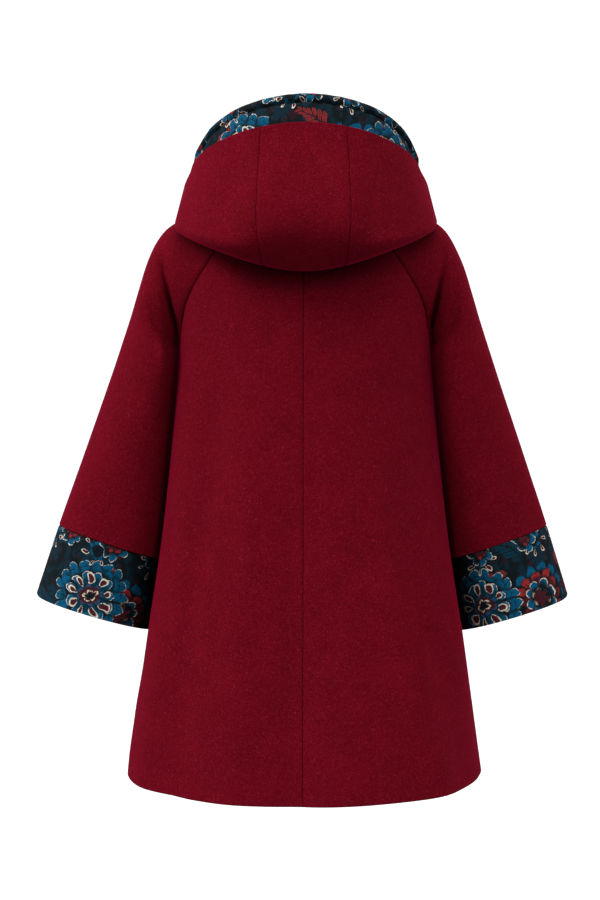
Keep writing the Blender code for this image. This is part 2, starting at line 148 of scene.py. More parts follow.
# The hood's profile in each direction round the neck, from the centre back at 0 to the centre front at 180.
# Each pair is a point's distance from the neck's axis and its height. The cloth rises from the neck seam,
# rolls over at its crest, goes down into the pouch, turns at the fold and comes up to the face edge.
HoodRow = namedtuple(
    "HoodRow",
    "angle rise rise_up crest crest_up inner inner_up fold fold_up outer outer_up edge edge_up",
)
HOOD_ROWS = (
    HoodRow(0, 0.066, 0.050, 0.0895, 0.0915, 0.118, -0.050, 0.152, -0.1430, 0.2090, -0.1110, 0.192, 0.0420),
    HoodRow(20, 0.068, 0.049, 0.0935, 0.0893, 0.124, -0.048, 0.160, -0.1349, 0.2205, -0.1129, 0.198, 0.0345),
    HoodRow(40, 0.074, 0.046, 0.1045, 0.0833, 0.138, -0.040, 0.174, -0.1097, 0.2202, -0.0967, 0.193, 0.0190),
    HoodRow(55, 0.080, 0.042, 0.1175, 0.0745, 0.148, -0.030, 0.178, -0.0896, 0.2089, -0.0806, 0.180, 0.0080),
    HoodRow(66, 0.085, 0.035, 0.1330, 0.0600, 0.152, -0.020, 0.172, -0.0804, 0.1922, -0.0724, 0.1692, 0.0032),
    HoodRow(80, 0.090, 0.022, 0.1465, 0.031, 0.157, -0.003, 0.167, -0.0642, 0.1825, -0.0597, 0.1697, -0.0098),
    HoodRow(88, 0.091, 0.014, 0.1475, 0.0170, 0.158, 0.000, 0.166, -0.0493, 0.1782, -0.0475, 0.1706, -0.0158),
    HoodRow(96, 0.092, 0.006, 0.148, 0.0090, 0.155, -0.003, 0.162, -0.0250, 0.171, -0.030, 0.1724, -0.0216),
    HoodRow(110, 0.092, -0.007, 0.143, -0.004, 0.150, -0.013, 0.156, -0.0270, 0.161, -0.034, 0.166, -0.0350),
    HoodRow(125, 0.092, -0.018, 0.138, -0.018, 0.144, -0.025, 0.149, -0.0330, 0.153, -0.040, 0.156, -0.047),
    HoodRow(150, 0.095, -0.040, 0.124, -0.048, 0.129, -0.055, 0.133, -0.0620, 0.136, -0.069, 0.138, -0.076),
    HoodRow(180, 0.098, -0.062, 0.110, -0.070, 0.114, -0.076, 0.117, -0.0820, 0.119, -0.088, 0.120, -0.094),
)
# From what angle on, and over how many degrees, the hood's outer wall gets steep right down to its fold
HOOD_STEEP_FROM = 10.0
HOOD_STEEP_OVER = 22.0
# Where the seams beside the hood's centre panel lie, at the neck seam and at the profile's six points
HOOD_SEAM_ANGLES = (31.0, 30.0, 28.0, 22.0, 19.0, 15.5, 16.5)
# How far the hood hangs over to one side, low down and at its crest, and between which heights it changes
HOOD_LEAN = -0.0018
CREST_LEAN = -0.0034
LEAN_HEIGHTS = (0.020, 0.095)


def column(rows, name):
    return np.array([getattr(row, name) for row in rows], dtype=float)


def ease(share):
    """0 below 0, 1 above 1, and a smooth step between."""
    share = np.clip(share, 0, 1)
    return share * share * (3 - 2 * share)


def bell(share):
    """1 at 0, falling away smoothly on both sides and nearly 0 from 2 on."""
    return np.exp(-(share**2))


def between(t, span, first, first_slope, last, last_slope):
    """A point of a smooth curve between two ends with their slopes, t running from 0 to 1 over the span."""
    return (
        (1 + 2 * t) * (1 - t) ** 2 * first
        + t * (1 - t) ** 2 * span * first_slope
        + t * t * (3 - 2 * t) * last
        + t * t * (t - 1) * span * last_slope
    )


def around(angle, reach, height):
    """A point in a direction from the neck's axis, given in radians from the centre back or front."""
    return np.stack([reach * np.sin(angle), reach * np.cos(angle), height], axis=-1)


def smooth(stations, values, at):
    """A smooth curve through the values at the stations, read at some places."""
    stations = np.asarray(stations, dtype=float)
    values = np.asarray(values, dtype=float)
    slopes = np.gradient(values, stations)
    left = np.clip(np.searchsorted(stations, at, side="right") - 1, 0, len(stations) - 2)
    span = stations[left + 1] - stations[left]
    t = (at - stations[left]) / span
    return between(t, span, values[left], slopes[left], values[left + 1], slopes[left + 1])


def section_reach(angle, breadth, depth):
    """How far a section's edge is from its middle, in a direction given in radians from the centre seam."""
    return (
        (np.abs(np.sin(angle)) / breadth) ** SECTION_POWER + (np.abs(np.cos(angle)) / depth) ** SECTION_POWER
    ) ** (-1 / SECTION_POWER)


def neck_point(angle):
    """A point of the neck seam, the angle running from the centre back at 0 to the centre front at pi."""
    depth = np.where(np.cos(angle) > 0, NECK_BACK_DEPTH, NECK_FRONT_DEPTH)
    reach = section_reach(angle, NECK_HALF_BREADTH, depth)
    height = -NECK_FRONT_DROP * ((1 - np.cos(angle)) / 2) ** NECK_DROP_POWER
    return around(angle, reach, height)


def body_point(rows, across, drop, lap=0.0):
    """A point of a body panel, across running from the centre seam at 0 to the other edge at 1."""
    drops = column(rows, "drop")
    depth, breadth, edge_angle, edge_drop = (
        smooth(drops, column(rows, name), drop) for name in ("depth", "breadth", "edge_angle", "edge_drop")
    )
    edge = np.radians(np.minimum(edge_angle, 90))
    start = -lap / depth
    angle = start + (edge - start) * across
    reach = section_reach(angle, breadth, depth)
    bow = np.clip(angle / edge, 0, None) ** 2
    height = -drop + (drop - edge_drop) * bow
    top = rows[0]
    from_back = np.abs(angle) if rows is BACK_ROWS else math.pi - np.abs(angle)
    to_seam = neck_point(from_back)[..., 2] + top.drop - (top.drop - top.edge_drop) * bow
    height = height + to_seam * np.clip(1 - (drop - top.drop) / NECK_BLEND, 0, 1) ** 2
    return around(angle, reach, height)


def back_surface(across, drop):
    return body_point(BACK_ROWS, across, drop)


def front_surface(across, drop):
    return body_point(FRONT_ROWS, across, drop, FRONT_LAP) * (1, -1, 1)


def side_breadth(y, drop):
    """How far out the body's side is at a depth and a drop."""

    def read(rows, name):
        return smooth(column(rows, "edge_drop"), column(rows, name), drop)

    depth = np.where(y > 0, read(BACK_ROWS, "depth"), read(FRONT_ROWS, "depth"))
    inside = np.clip(np.abs(y) / depth, 0, 1)
    return read(BACK_ROWS, "breadth") * (1 - inside**SECTION_POWER) ** (1 / SECTION_POWER)


def underarm_point(row):
    """The underarm seam, just clear of the body's side."""
    rows = column(UNDERARM_SEAM, "row")
    y = smooth(rows, column(UNDERARM_SEAM, "y"), row)
    drop = smooth(rows, column(UNDERARM_SEAM, "drop"), row)
    return np.stack([side_breadth(y, drop) + SLEEVE_CLEARANCE, y, -drop], axis=-1)


def sleeve_curve(across, row, face):
    """A point of half a sleeve as its table gives it, before its top edge is drawn to the neck seam."""
    stations = np.arange(len(SLEEVE_ROWS), dtype=float)

    def read(name):
        return smooth(stations, column(SLEEVE_ROWS, name), row)

    panel, drop_name = (BACK_ROWS, "back_drop") if face > 0 else (FRONT_ROWS, "front_drop")
    drop = np.interp(row, stations, column(SLEEVE_ROWS, drop_name))
    raglan = body_point(panel, np.ones_like(drop), drop) * (1, face, 1)
    below = ease(row - (UNDERARM_ROW - 1))[..., None]
    inner = raglan * (1 - below) + underarm_point(row) * below
    outer = np.stack([read("outer_x"), read("outer_y"), -read("outer_drop")], axis=-1)
    turn = np.radians(read("turn"))
    span = outer - inner
    climb = np.clip(np.cos(turn), 0, 1) * span[..., 2] / np.linalg.norm(span, axis=-1)
    leave = np.stack([np.cos(turn), face * np.sin(turn), climb], axis=-1)
    inner_handle = inner + read("reach")[..., None] * leave
    outer_handle = outer + read("outer_reach")[..., None] * np.array((0.0, face, 0.0))
    t = across[..., None]
    return (
        (1 - t) ** 3 * outer
        + 3 * t * (1 - t) ** 2 * outer_handle
        + 3 * t * t * (1 - t) * inner_handle
        + t**3 * inner
    )


def sleeve_surface(across, row, face, outer_spread):
    """A point of half a sleeve, face 1 for the back half and -1 for the front one. across runs from the
    overarm seam at 0 to the raglan seam, or below it the underarm seam, at 1."""
    points = sleeve_curve(across, row, face)
    seam_end = math.radians(BACK_ROWS[0].edge_angle if face > 0 else 180 - FRONT_ROWS[0].edge_angle)
    neck = neck_point(math.pi / 2 + (seam_end - math.pi / 2) * across)
    to_neck = neck - sleeve_curve(across, row * 0, face)
    points = points + to_neck * (np.clip(1 - row, 0, 1) ** 2)[..., None]
    spread = outer_spread * np.clip(row / HEM_ROW, 0, None) ** SPREAD_POWER * (1 - across)
    return points + np.stack([spread, 0 * spread, 0 * spread], axis=-1)


def cuff_surface(across, row, outer_spread):
    """A point of a cuff, which runs from the underarm seam at -1 over the front and the overarm at 0, and
    over the back to the same seam at 1."""
    halves = [sleeve_surface(np.abs(across), row, face, outer_spread) for face in (1, -1)]
    return np.where((across >= 0)[..., None], *halves)


def hood_profile(angle):
    """The seven points of the hood's profile in a direction, as an array of (distance, height)."""
    rows = (HOOD_ROWS[1]._replace(angle=-HOOD_ROWS[1].angle), *HOOD_ROWS)
    stations = column(rows, "angle")
    degrees = np.degrees(np.abs(angle))
    seam = neck_point(angle)
    points = [np.stack([np.hypot(seam[..., 0], seam[..., 1]), seam[..., 2]], axis=-1)]
    for name in ("rise", "crest", "inner", "fold", "outer", "edge"):
        out = smooth(stations, column(rows, name), degrees)
        up = smooth(stations, column(rows, name + "_up"), degrees)
        points.append(np.stack([out, up], axis=-1))
    return np.stack(points)


def hood_point(angle, place):
    """A point of the hood's cloth, place being 0 at the neck seam and 6 at the face edge."""
    points = hood_profile(angle)
    steps = np.linalg.norm(np.diff(points, axis=0), axis=-1)
    speeds = np.diff(points, axis=0) / steps[..., None]
    slopes = [speeds[0] * steps[0][..., None]]
    for k in range(1, len(points) - 1):
        before, after = steps[k - 1][..., None], steps[k][..., None]
        slopes.append((speeds[k - 1] * after + speeds[k] * before) / (before + after))
    slopes[0] = np.stack([np.zeros_like(angle), np.ones_like(angle)], axis=-1)
    steep = ease((np.degrees(np.abs(angle)) - HOOD_STEEP_FROM) / HOOD_STEEP_OVER)[..., None]
    slopes[5] = slopes[5] * (1 - steep) + speeds[5] * steep
    slopes.append(speeds[-1])
    slopes = np.stack(slopes)
    left = np.clip(np.floor(place).astype(int), 0, len(points) - 2)
    t = (place - left)[..., None]

    def pick(values, index):
        return np.take_along_axis(values, index[None, ..., None], axis=0)[0]

    span = np.take_along_axis(steps, left[None], axis=0)[0][..., None]
    ends = (pick(values, index) for index in (left, left + 1) for values in (points, slopes))
    flat = between(t, span, *ends)
    return around(angle, flat[..., 0], flat[..., 1])


def hood_seam_angle(place):
    return np.radians(smooth(np.arange(len(HOOD_SEAM_ANGLES)), HOOD_SEAM_ANGLES, place))


def hood_side_surface(across, place):
    """The hood's side panel, across being 0 at the seam beside the centre panel and 1 at the centre front."""
    start = hood_seam_angle(place)
    return hood_point(start + (math.radians(HOOD_END_ANGLE) - start) * across, place)


def hood_centre_surface(across, place):
    """The hood's centre panel, across running from -1 to 1."""
    return hood_point(hood_seam_angle(place) * across, place)


# ---------------------------------------------------------------------------------------------------------
# Folds, creases and gathers
# ---------------------------------------------------------------------------------------------------------

# A soft ridge, or a trough where its height is below 0, along a straight line between two points of the
# garment seen from behind. It starts flat and has its middle and end heights halfway and at its end.
Fold = namedtuple("Fold", "from_x from_up to_x to_up width_from width_to middle end")
BACK_FOLDS = (
    Fold(0.140, -0.160, 0.210, -0.800, 0.016, 0.022, 0.0048, 0.0040),
    Fold(0.100, -0.160, 0.174, -0.810, 0.018, 0.024, -0.0085, -0.0072),
    Fold(0.060, -0.180, 0.098, -0.840, 0.026, 0.034, 0.0085, 0.0100),
    Fold(0.007, -0.250, 0.010, -0.840, 0.022, 0.026, -0.0060, -0.0085),
    Fold(-0.062, -0.320, -0.178, -0.840, 0.022, 0.028, 0.0064, 0.0074),
    Fold(-0.112, -0.340, -0.215, -0.800, 0.020, 0.024, -0.0054, -0.0034),
)
FRONT_FOLDS = (
    Fold(0.095, -0.200, 0.150, -0.840, 0.028, 0.040, 0.0036, 0.0060),
    Fold(-0.100, -0.230, -0.158, -0.840, 0.028, 0.038, 0.0040, 0.0056),
    Fold(0.060, -0.420, 0.070, -0.840, 0.026, 0.036, -0.0026, -0.0034),
    Fold(-0.062, -0.380, -0.082, -0.840, 0.026, 0.034, -0.0024, -0.0036),
)
# How far past its ends a fold's line goes on, as a share of its length
FOLD_PAST_ENDS = 0.2
# The deep crease on each sleeve from the shoulder down to the underarm, as a line of points with its depth
# and its half width on the arm's side and on the body's side
Crease = namedtuple("Crease", "x up depth armward bodyward")
SLEEVE_CREASES = {
    1: (
        Crease(0.1985, -0.085, 0.0000, 0.0052, 0.0048),
        Crease(0.1960, -0.112, 0.0025, 0.0052, 0.0048),
        Crease(0.1925, -0.139, 0.0049, 0.0043, 0.0042),
        Crease(0.1890, -0.160, 0.0069, 0.0038, 0.0042),
        Crease(0.1850, -0.181, 0.0089, 0.0033, 0.0042),
        Crease(0.1815, -0.201, 0.0109, 0.0033, 0.0048),
        Crease(0.1790, -0.222, 0.0129, 0.0028, 0.0053),
        Crease(0.1770, -0.245, 0.0129, 0.0028, 0.0053),
        Crease(0.1790, -0.300, 0.0000, 0.0033, 0.0053),
    ),
    -1: (
        Crease(-0.1945, -0.092, 0.0000, 0.0052, 0.0048),
        Crease(-0.1910, -0.122, 0.0030, 0.0052, 0.0048),
        Crease(-0.1870, -0.146, 0.0059, 0.0043, 0.0042),
        Crease(-0.1850, -0.160, 0.0074, 0.0038, 0.0042),
        Crease(-0.1815, -0.181, 0.0099, 0.0038, 0.0048),
        Crease(-0.1785, -0.201, 0.0119, 0.0038, 0.0053),
        Crease(-0.1760, -0.222, 0.0129, 0.0038, 0.0053),
        Crease(-0.1765, -0.245, 0.0109, 0.0038, 0.0053),
        Crease(-0.1790, -0.300, 0.0000, 0.0043, 0.0053),
    ),
}
# How high the ridge on the arm's side of a crease is as a share of its depth, how far off, and how wide
CREASE_RIDGE = 0.40
CREASE_RIDGE_AWAY = 0.014
CREASE_RIDGE_WIDTH = 0.009
# Slow unevenness of the cloth: the length of each wave across and up, its phase and its height
Wave = namedtuple("Wave", "across up phase height")
WAVES = (
    Wave(0.330, 0.520, 0.4, 0.0012),
    Wave(-0.190, 0.270, 2.1, 0.0008),
    Wave(0.110, 0.170, 4.0, 0.0005),
    Wave(0.071, -0.093, 1.2, 0.0003),
)
# How far from a seam the folds and waves run out
SEAM_CALM = 0.040
# The share of its breadth by which a body panel reaches over the seam into the next, so that none gapes
SEAM_OVERLAP = 0.0020
# How far the cloth is drawn down at a seam, and how far to each side
SEAM_SINK = 0.0013
SEAM_WIDTH = 0.0026
# How near to its seam a sleeve's crease runs out, and how much finer its mesh is across the crease
SEAM_REACH = 0.007
SLEEVE_FINENESS = 2.4

# Shares of the lines across the hood's cloth and the places on its profile where they lie, with one pair
# beyond each end
HOOD_LINES = (
    (-0.1, -1.4), (0.0, 0.0), (0.12, 1.7), (0.47, 2.32), (0.60, 3.3), (0.72, 4.6), (1.0, 6.0), (1.1, 6.5),
)
HOOD_CELLS = 150
HOOD_SIDE_CELLS = 64
HOOD_CENTRE_CELLS = 34
LINING_END = 0.995

# The padded roll along the hood's crest, with its gathers and the stitched crease below it
ROLL_MIDDLE = 0.0045
ROLL_WIDTH = 0.0175
ROLL_HEIGHT = 0.0068
ROLL_CREASE_WIDTH = 0.0026
ROLL_PADDING = 0.0034
GATHERS = (Wave(0.0195, 1, 0.0, 0.00075), Wave(0.0290, 1, 1.3, 0.00070), Wave(0.0125, 1, 2.9, 0.00040))
# How far each cuff's hem curves up at the overarm seam, in rows, and how far round it does so
CUFF_CORNER_LIFT = 0.036
CUFF_CORNER_REACH = 0.10
CUFF_STITCH_RISE = 0.0062
CUFF_STITCH_WIDTH = 0.0014
CUFF_STITCH_DEPTH = 0.0010
CUFF_PUCKERS = (Wave(0.0118, 1, 0.6, 0.00028), Wave(0.0171, 1, 2.2, 0.00026))


def fold_height(folds, points):
    """How far the folds lift the cloth at each point."""
    x, up = points[..., 0], points[..., 2]
    height = np.zeros_like(x)
    for fold in folds:
        share = (fold.from_up - up) / (fold.from_up - fold.to_up)
        line = fold.from_x + (fold.to_x - fold.from_x) * np.clip(share, -FOLD_PAST_ENDS, 1 + FOLD_PAST_ENDS)
        width = fold.width_from + (fold.width_to - fold.width_from) * np.clip(share, 0, 1)
        rise = fold.middle * ease(share * 2) + (fold.end - fold.middle) * ease(share * 2 - 1)
        height += rise * bell((x - line) / width)
    return height


def crease_depth(creases, points):
    """How far a sleeve's crease sinks the cloth at each point."""
    x, up = np.abs(points[..., 0]), points[..., 2]
    ups = -column(creases, "up")

    def read(name):
        return np.interp(-up, ups, np.abs(column(creases, name)))

    away = x - read("x")
    width = np.where(away > 0, read("armward"), read("bodyward"))
    ridge = CREASE_RIDGE * bell((away - CREASE_RIDGE_AWAY) / CREASE_RIDGE_WIDTH)
    return read("depth") * (bell(away / width) - ridge)


def waves(table, across, up=0.0):
    return sum(w.height * np.sin(2 * math.pi * (across / w.across + up / w.up) + w.phase) for w in table)


def seam_sink(grid, start=1, end=1):
    """How far the cloth is drawn down beside its first and its last columns, where they are sewn."""
    at_start, at_end = (bell(away / SEAM_WIDTH) for away in (grid.from_start, grid.from_end))
    return -SEAM_SINK * (start * at_start + end * at_end)[:, None]


def calm_near(distance):
    """1 away from a seam and 0 on it."""
    return ease(distance / SEAM_CALM)


# ---------------------------------------------------------------------------------------------------------
# Cloth panels
# ---------------------------------------------------------------------------------------------------------

# How many lines lie on an edge's rounding, how far off the next ones are in radii, and the step, in units of
# place, that a surface's speed is measured over
RIM_LINES = 5
LINES_BESIDE = (2.0, 4.0)
STEP = 1e-4
# A panel's grid: the places of its points across and along, the points, how full the cloth's thickness is at
# each, and how far its lines are from its four edges
Grid = namedtuple("Grid", "across along points fullness from_start from_end from_top from_bottom")


def grid_lines(start, end, start_speed, end_speed, radius, cells):
    """The places of a grid's lines between two rounded edges, and each line's distance from the two. Lines
    lie close together on the edges' rounding. The speeds give metres for each unit of place."""
    rim = radius * np.append(1 - np.cos(np.linspace(0, math.pi / 2, RIM_LINES)), LINES_BESIDE)
    way = math.copysign(1, end - start)
    head = start + way * rim[:, None] / start_speed
    tail = end - way * rim[::-1, None] / end_speed
    share = np.linspace(0, 1, cells + 1)[1:-1, None]
    middle = head[-1] + (tail[0] - head[-1]) * share
    from_start = np.concatenate([rim, np.full(len(share) + len(rim), np.inf)])
    return np.concatenate([head, middle, tail]), from_start, from_start[::-1]


def speed(surface, across, along, step):
    """How many metres the surface moves for each unit of place, in the direction of the step."""
    moved = surface(across + step[0], along + step[1]) - surface(across - step[0], along - step[1])
    return np.linalg.norm(moved, axis=-1) / (2 * STEP)


def make_grid(surface, across, along, cells, radius, end_radius=None):
    """A surface's points on a grid whose lines crowd at its edges, and how full the cloth's thickness is at
    each: 0 on an edge, and 1 past its rounding."""
    end_radius = end_radius or radius
    sideways, down = (STEP, 0), (0, STEP)
    middle = np.array([sum(across) / 2])
    ends = [speed(surface, middle, np.array([at]), down) for at in along]
    rows = grid_lines(*along, *ends, end_radius, cells[1])[0][:, 0]
    ends = [speed(surface, at + 0 * rows, rows, sideways) for at in across]
    u, from_start, from_end = grid_lines(*across, *ends, radius, cells[0])
    ends = [speed(surface, u[:, k], at + 0 * u[:, k], down) for k, at in zip((0, -1), along)]
    v, from_top, from_bottom = grid_lines(*along, *ends, end_radius, cells[1])
    v = v.T
    side = np.clip(1 - np.minimum(from_start, from_end) / radius, 0, 1)[:, None]
    end = np.clip(1 - np.minimum(from_top, from_bottom) / end_radius, 0, 1)[None, :]
    fullness = np.sqrt(np.clip(1 - side**2 - end**2, 0, 1))
    return Grid(u, v, surface(u, v), fullness, from_start, from_end, from_top, from_bottom)


def turned(grid, sign):
    """The grid itself on the wearer's left, or its mirror image on the right."""
    if sign > 0:
        return grid
    return Grid(
        grid.across[::-1],
        grid.along[::-1],
        grid.points[::-1] * (-1, 1, 1),
        grid.fullness[::-1],
        grid.from_end,
        grid.from_start,
        grid.from_top,
        grid.from_bottom,
    )


def normals_of(points):
    normals = np.cross(np.gradient(points, axis=1), np.gradient(points, axis=0))
    return normals / np.linalg.norm(normals, axis=-1, keepdims=True)


def lengths(points, axis):
    """The distance walked along a grid's lines from their start."""
    steps = np.linalg.norm(np.diff(points, axis=axis), axis=-1)
    zero = np.zeros_like(np.take(steps, [0], axis=axis))
    return np.cumsum(np.concatenate([zero, steps], axis=axis), axis=axis)


def cloth_mesh(name, points, above, below, coordinates):
    """A closed thin shell: its outer face lies above the grid's points and its inner face below them, and
    the two meet on the edges."""
    normals = normals_of(points)
    outer = points + normals * above[..., None]
    inner = points - normals * below[..., None]
    columns, rows = above.shape
    top = np.arange(columns * rows).reshape(columns, rows)
    under = top.copy()
    under[1:-1, 1:-1] = columns * rows + np.arange((columns - 2) * (rows - 2)).reshape(columns - 2, -1)
    places = np.concatenate([outer.reshape(-1, 3), inner[1:-1, 1:-1].reshape(-1, 3)])

    def corners(grid, order):
        around = (grid[:-1, :-1], grid[:-1, 1:], grid[1:, 1:], grid[1:, :-1])
        return np.stack([around[k] for k in order], axis=-1).reshape(-1, 4)

    outward, inward = (0, 1, 2, 3), (0, 3, 2, 1)
    faces = np.concatenate([corners(top, outward), corners(under, inward)])
    mesh = bpy.data.meshes.new(name)
    mesh.vertices.add(len(places))
    mesh.vertices.foreach_set("co", places.astype(np.float32).ravel())
    mesh.loops.add(faces.size)
    mesh.loops.foreach_set("vertex_index", faces.astype(np.int32).ravel())
    mesh.polygons.add(len(faces))
    mesh.polygons.foreach_set("loop_start", np.arange(0, faces.size, 4, dtype=np.int32))
    mesh.update(calc_edges=True)
    mesh.shade_smooth()
    if coordinates is not None:
        flat = coordinates.reshape(-1, 2)
        loops = np.concatenate([corners(top, order) for order in (outward, inward)])
        layer = mesh.uv_layers.new(name=CLOTH_UV)
        layer.data.foreach_set("uv", flat[loops.ravel()].astype(np.float32).ravel())
    return mesh


def flat_coordinates(points, column_at, row_at):
    """Metres across and along the flat cloth, measured from one column and one row of the grid."""
    across = lengths(points, 0)
    along = lengths(points, 1)
    across = across - across[column_at : column_at + 1]
    along = along - along[:, row_at : row_at + 1]
    return np.stack([across, -along], axis=-1)


# ---------------------------------------------------------------------------------------------------------
# Finishes
# ---------------------------------------------------------------------------------------------------------


class Value:
    """A socket's value in a node tree. Arithmetic with it adds the maths nodes that work it out."""

    def __init__(self, made, socket):
        self.made = made
        self.socket = socket

    def __add__(self, other):
        return self.made.math("ADD", self, other)

    def __sub__(self, other):
        return self.made.math("SUBTRACT", self, other)

    def __rsub__(self, other):
        return self.made.math("SUBTRACT", other, self)

    def __mul__(self, other):
        return self.made.math("MULTIPLY", self, other)

    def __truediv__(self, other):
        return self.made.math("DIVIDE", self, other)

    def __rtruediv__(self, other):
        return self.made.math("DIVIDE", other, self)

    def __pow__(self, other):
        return self.made.math("POWER", self, other)

    def __abs__(self):
        return self.made.math("ABSOLUTE", self)


class Nodes:
    """Short calls that add nodes to a tree and join them. An input is a Value or a plain value."""

    def __init__(self, tree):
        self.tree = tree

    def add(self, kind, inputs=(), **settings):
        node = self.tree.nodes.new(kind)
        for name, value in settings.items():
            setattr(node, name, value)
        for key, value in dict(inputs).items():
            self.feed(node.inputs[key], value)
        return node

    def feed(self, socket, value):
        if isinstance(value, Value):
            self.tree.links.new(value.socket, socket)
        else:
            socket.default_value = value

    def value(self, kind, inputs=(), output=0, **settings):
        """An output of a new node."""
        return Value(self, self.add(kind, inputs, **settings).outputs[output])

    def math(self, operation, *values, clamp=False):
        return self.value("ShaderNodeMath", dict(enumerate(values)), operation=operation, use_clamp=clamp)

    def vector(self, operation, *values, output=0):
        return self.value("ShaderNodeVectorMath", dict(enumerate(values)), output, operation=operation)

    def mix(self, share, first, second, blend="MIX"):
        """The colour between two at a share, on the colour sockets of a mix node."""
        node = self.add("ShaderNodeMix", data_type="RGBA", blend_type=blend)
        for index, value in ((0, share), (6, first), (7, second)):
            self.feed(node.inputs[index], value)
        return Value(self, node.outputs[2])

    def remap(self, value, low, high, to_low=0.0, to_high=1.0, kind="LINEAR"):
        inputs = dict(enumerate((value, low, high, to_low, to_high)))
        return self.value("ShaderNodeMapRange", inputs, interpolation_type=kind)

    def noise(self, vector, scale, detail=2.0, roughness=0.5, distortion=0.0):
        inputs = {
            "Vector": vector,
            "Scale": scale,
            "Detail": detail,
            "Roughness": roughness,
            "Distortion": distortion,
        }
        return self.value("ShaderNodeTexNoise", inputs, "Fac")

    def hypotenuse(self, first, second):
        return self.math("SQRT", first * first + second * second)

    def bulge(self, share):
        """The square root of 1 less the share, and 0 where the share is past 1."""
        return self.math("SQRT", self.math("SUBTRACT", 1.0, share, clamp=True))

    def warp(self, place, scale, amount):
        """The place moved about a little, so that what is drawn there looks drawn by hand."""
        strayed = self.value("ShaderNodeTexNoise", {"Vector": place, "Scale": scale, "Detail": 1.0}, "Color")
        centred = self.vector("SUBTRACT", strayed, (0.5, 0.5, 0.5))
        return self.vector("ADD", place, self.vector("MULTIPLY", centred, (amount, amount, 0)))

    def group(self, name, **inputs):
        """The outputs of a node group of this file, by their names."""
        node = self.add("ShaderNodeGroup", node_tree=group_named(name))
        for key, value in inputs.items():
            self.feed(node.inputs[key.replace("_", " ").capitalize()], value)
        return {socket.name: Value(self, socket) for socket in node.outputs}


def new_group(name, inputs, outputs):
    """A shader node group with its sockets: its tree, nodes, given values and sockets for its results."""
    tree = bpy.data.node_groups.new(name, "ShaderNodeTree")
    for direction, sockets in (("INPUT", inputs), ("OUTPUT", outputs)):
        for socket, kind in sockets.items():
            tree.interface.new_socket(socket, in_out=direction, socket_type="NodeSocket" + kind)
    made = Nodes(tree)
    given = {socket.name: Value(made, socket) for socket in made.add("NodeGroupInput").outputs}
    return tree, made, given, made.add("NodeGroupOutput").inputs


def sockets_of(kind, *names):
    return {name: kind for name in names}


# How fine the felt's slow clouds are, how much finer its flecks are than its clumps, and how far its fibres
# are drawn out in each of the three ways that they lie
CLOUD_SCALE = 26.0
FLECKS_TO_CLUMPS = 1.7
FIBRE_WAYS = ((1.0, 0.35, 0.22), (0.25, 1.0, 0.4), (0.4, 0.25, 1.0))


def felt_group():
    """Matted wool fibres: slow clouds, small clumps, and fine fibres that lie every way."""
    inputs = {"Vector": "Vector"} | sockets_of("Float", "Clump size", "Fibre size")
    outputs = sockets_of("Float", "Cloud", "Clump", "Fibre", "Fleck", "Pit", "Height")
    tree, made, given, results = new_group("Felt fibres", inputs, outputs)
    vector = given["Vector"]
    clump_scale = 1.0 / given["Clump size"]
    fibre_scale = 1.0 / given["Fibre size"]
    cloud = made.noise(vector, CLOUD_SCALE, detail=3.0, roughness=0.6)
    clump = made.noise(vector, clump_scale, detail=3.0, roughness=0.65, distortion=0.6)
    speck = made.noise(vector, clump_scale * FLECKS_TO_CLUMPS, roughness=0.7, distortion=1.0)
    strands = [
        made.noise(made.vector("MULTIPLY", vector, way), fibre_scale, roughness=0.6, distortion=1.4)
        for way in FIBRE_WAYS
    ]
    fibre = made.math("MAXIMUM", made.math("MAXIMUM", strands[0], strands[1]), strands[2])
    made.feed(results["Cloud"], cloud)
    made.feed(results["Clump"], clump)
    made.feed(results["Fibre"], made.remap(fibre, 0.50, 0.80))
    made.feed(results["Fleck"], made.remap(speck, 0.60, 0.74))
    made.feed(results["Pit"], made.remap(speck, 0.42, 0.28))
    made.feed(results["Height"], clump * 0.6 + fibre * 0.5)
    return tree


def painted_shade_group():
    """Painted shade: a colour sunk towards black where other cloth closes it in within the reach, as shade
    would fall there.
    """
    inputs = {"Colour": "Color"} | sockets_of("Float", "Reach", "Closed", "Open", "Darkest")
    tree, made, given, results = new_group("Dark hollows", inputs, {"Colour": "Color"})
    openness = made.value("ShaderNodeAmbientOcclusion", {"Distance": given["Reach"]}, "AO", samples=6)
    share = made.remap(openness, given["Closed"], given["Open"], given["Darkest"], kind="SMOOTHSTEP")
    grey = made.value("ShaderNodeCombineColor", {0: share, 1: share, 2: share})
    made.feed(results["Colour"], made.mix(1.0, given["Colour"], grey, "MULTIPLY"))
    return tree


def place_group():
    """Where a point lies on a motif, in the motif's own size and turn."""
    inputs = sockets_of("Vector", "Vector", "Centre", "Repeat") | sockets_of("Float", "Size", "Turn")
    outputs = sockets_of("Float", "Across", "Along", "Angle", "Distance")
    tree, made, given, results = new_group("Motif place", inputs, outputs)
    away = made.vector("SUBTRACT", given["Vector"], given["Centre"])
    half = made.vector("MULTIPLY", given["Repeat"], (0.5, 0.5, 0.5))
    wrapped = made.vector("WRAP", away, half, made.vector("MULTIPLY", half, (-1, -1, -1)))
    turning = {"Vector": wrapped, "Angle": given["Turn"]}
    facing = made.value("ShaderNodeVectorRotate", turning, rotation_type="Z_AXIS")
    parts = made.add("ShaderNodeSeparateXYZ", {0: facing}).outputs
    across, along = (Value(made, parts[axis]) / given["Size"] for axis in "XY")
    made.feed(results["Across"], across)
    made.feed(results["Along"], along)
    made.feed(results["Angle"], made.math("ARCTAN2", along, across))
    made.feed(results["Distance"], made.hypotenuse(across, along))
    return tree


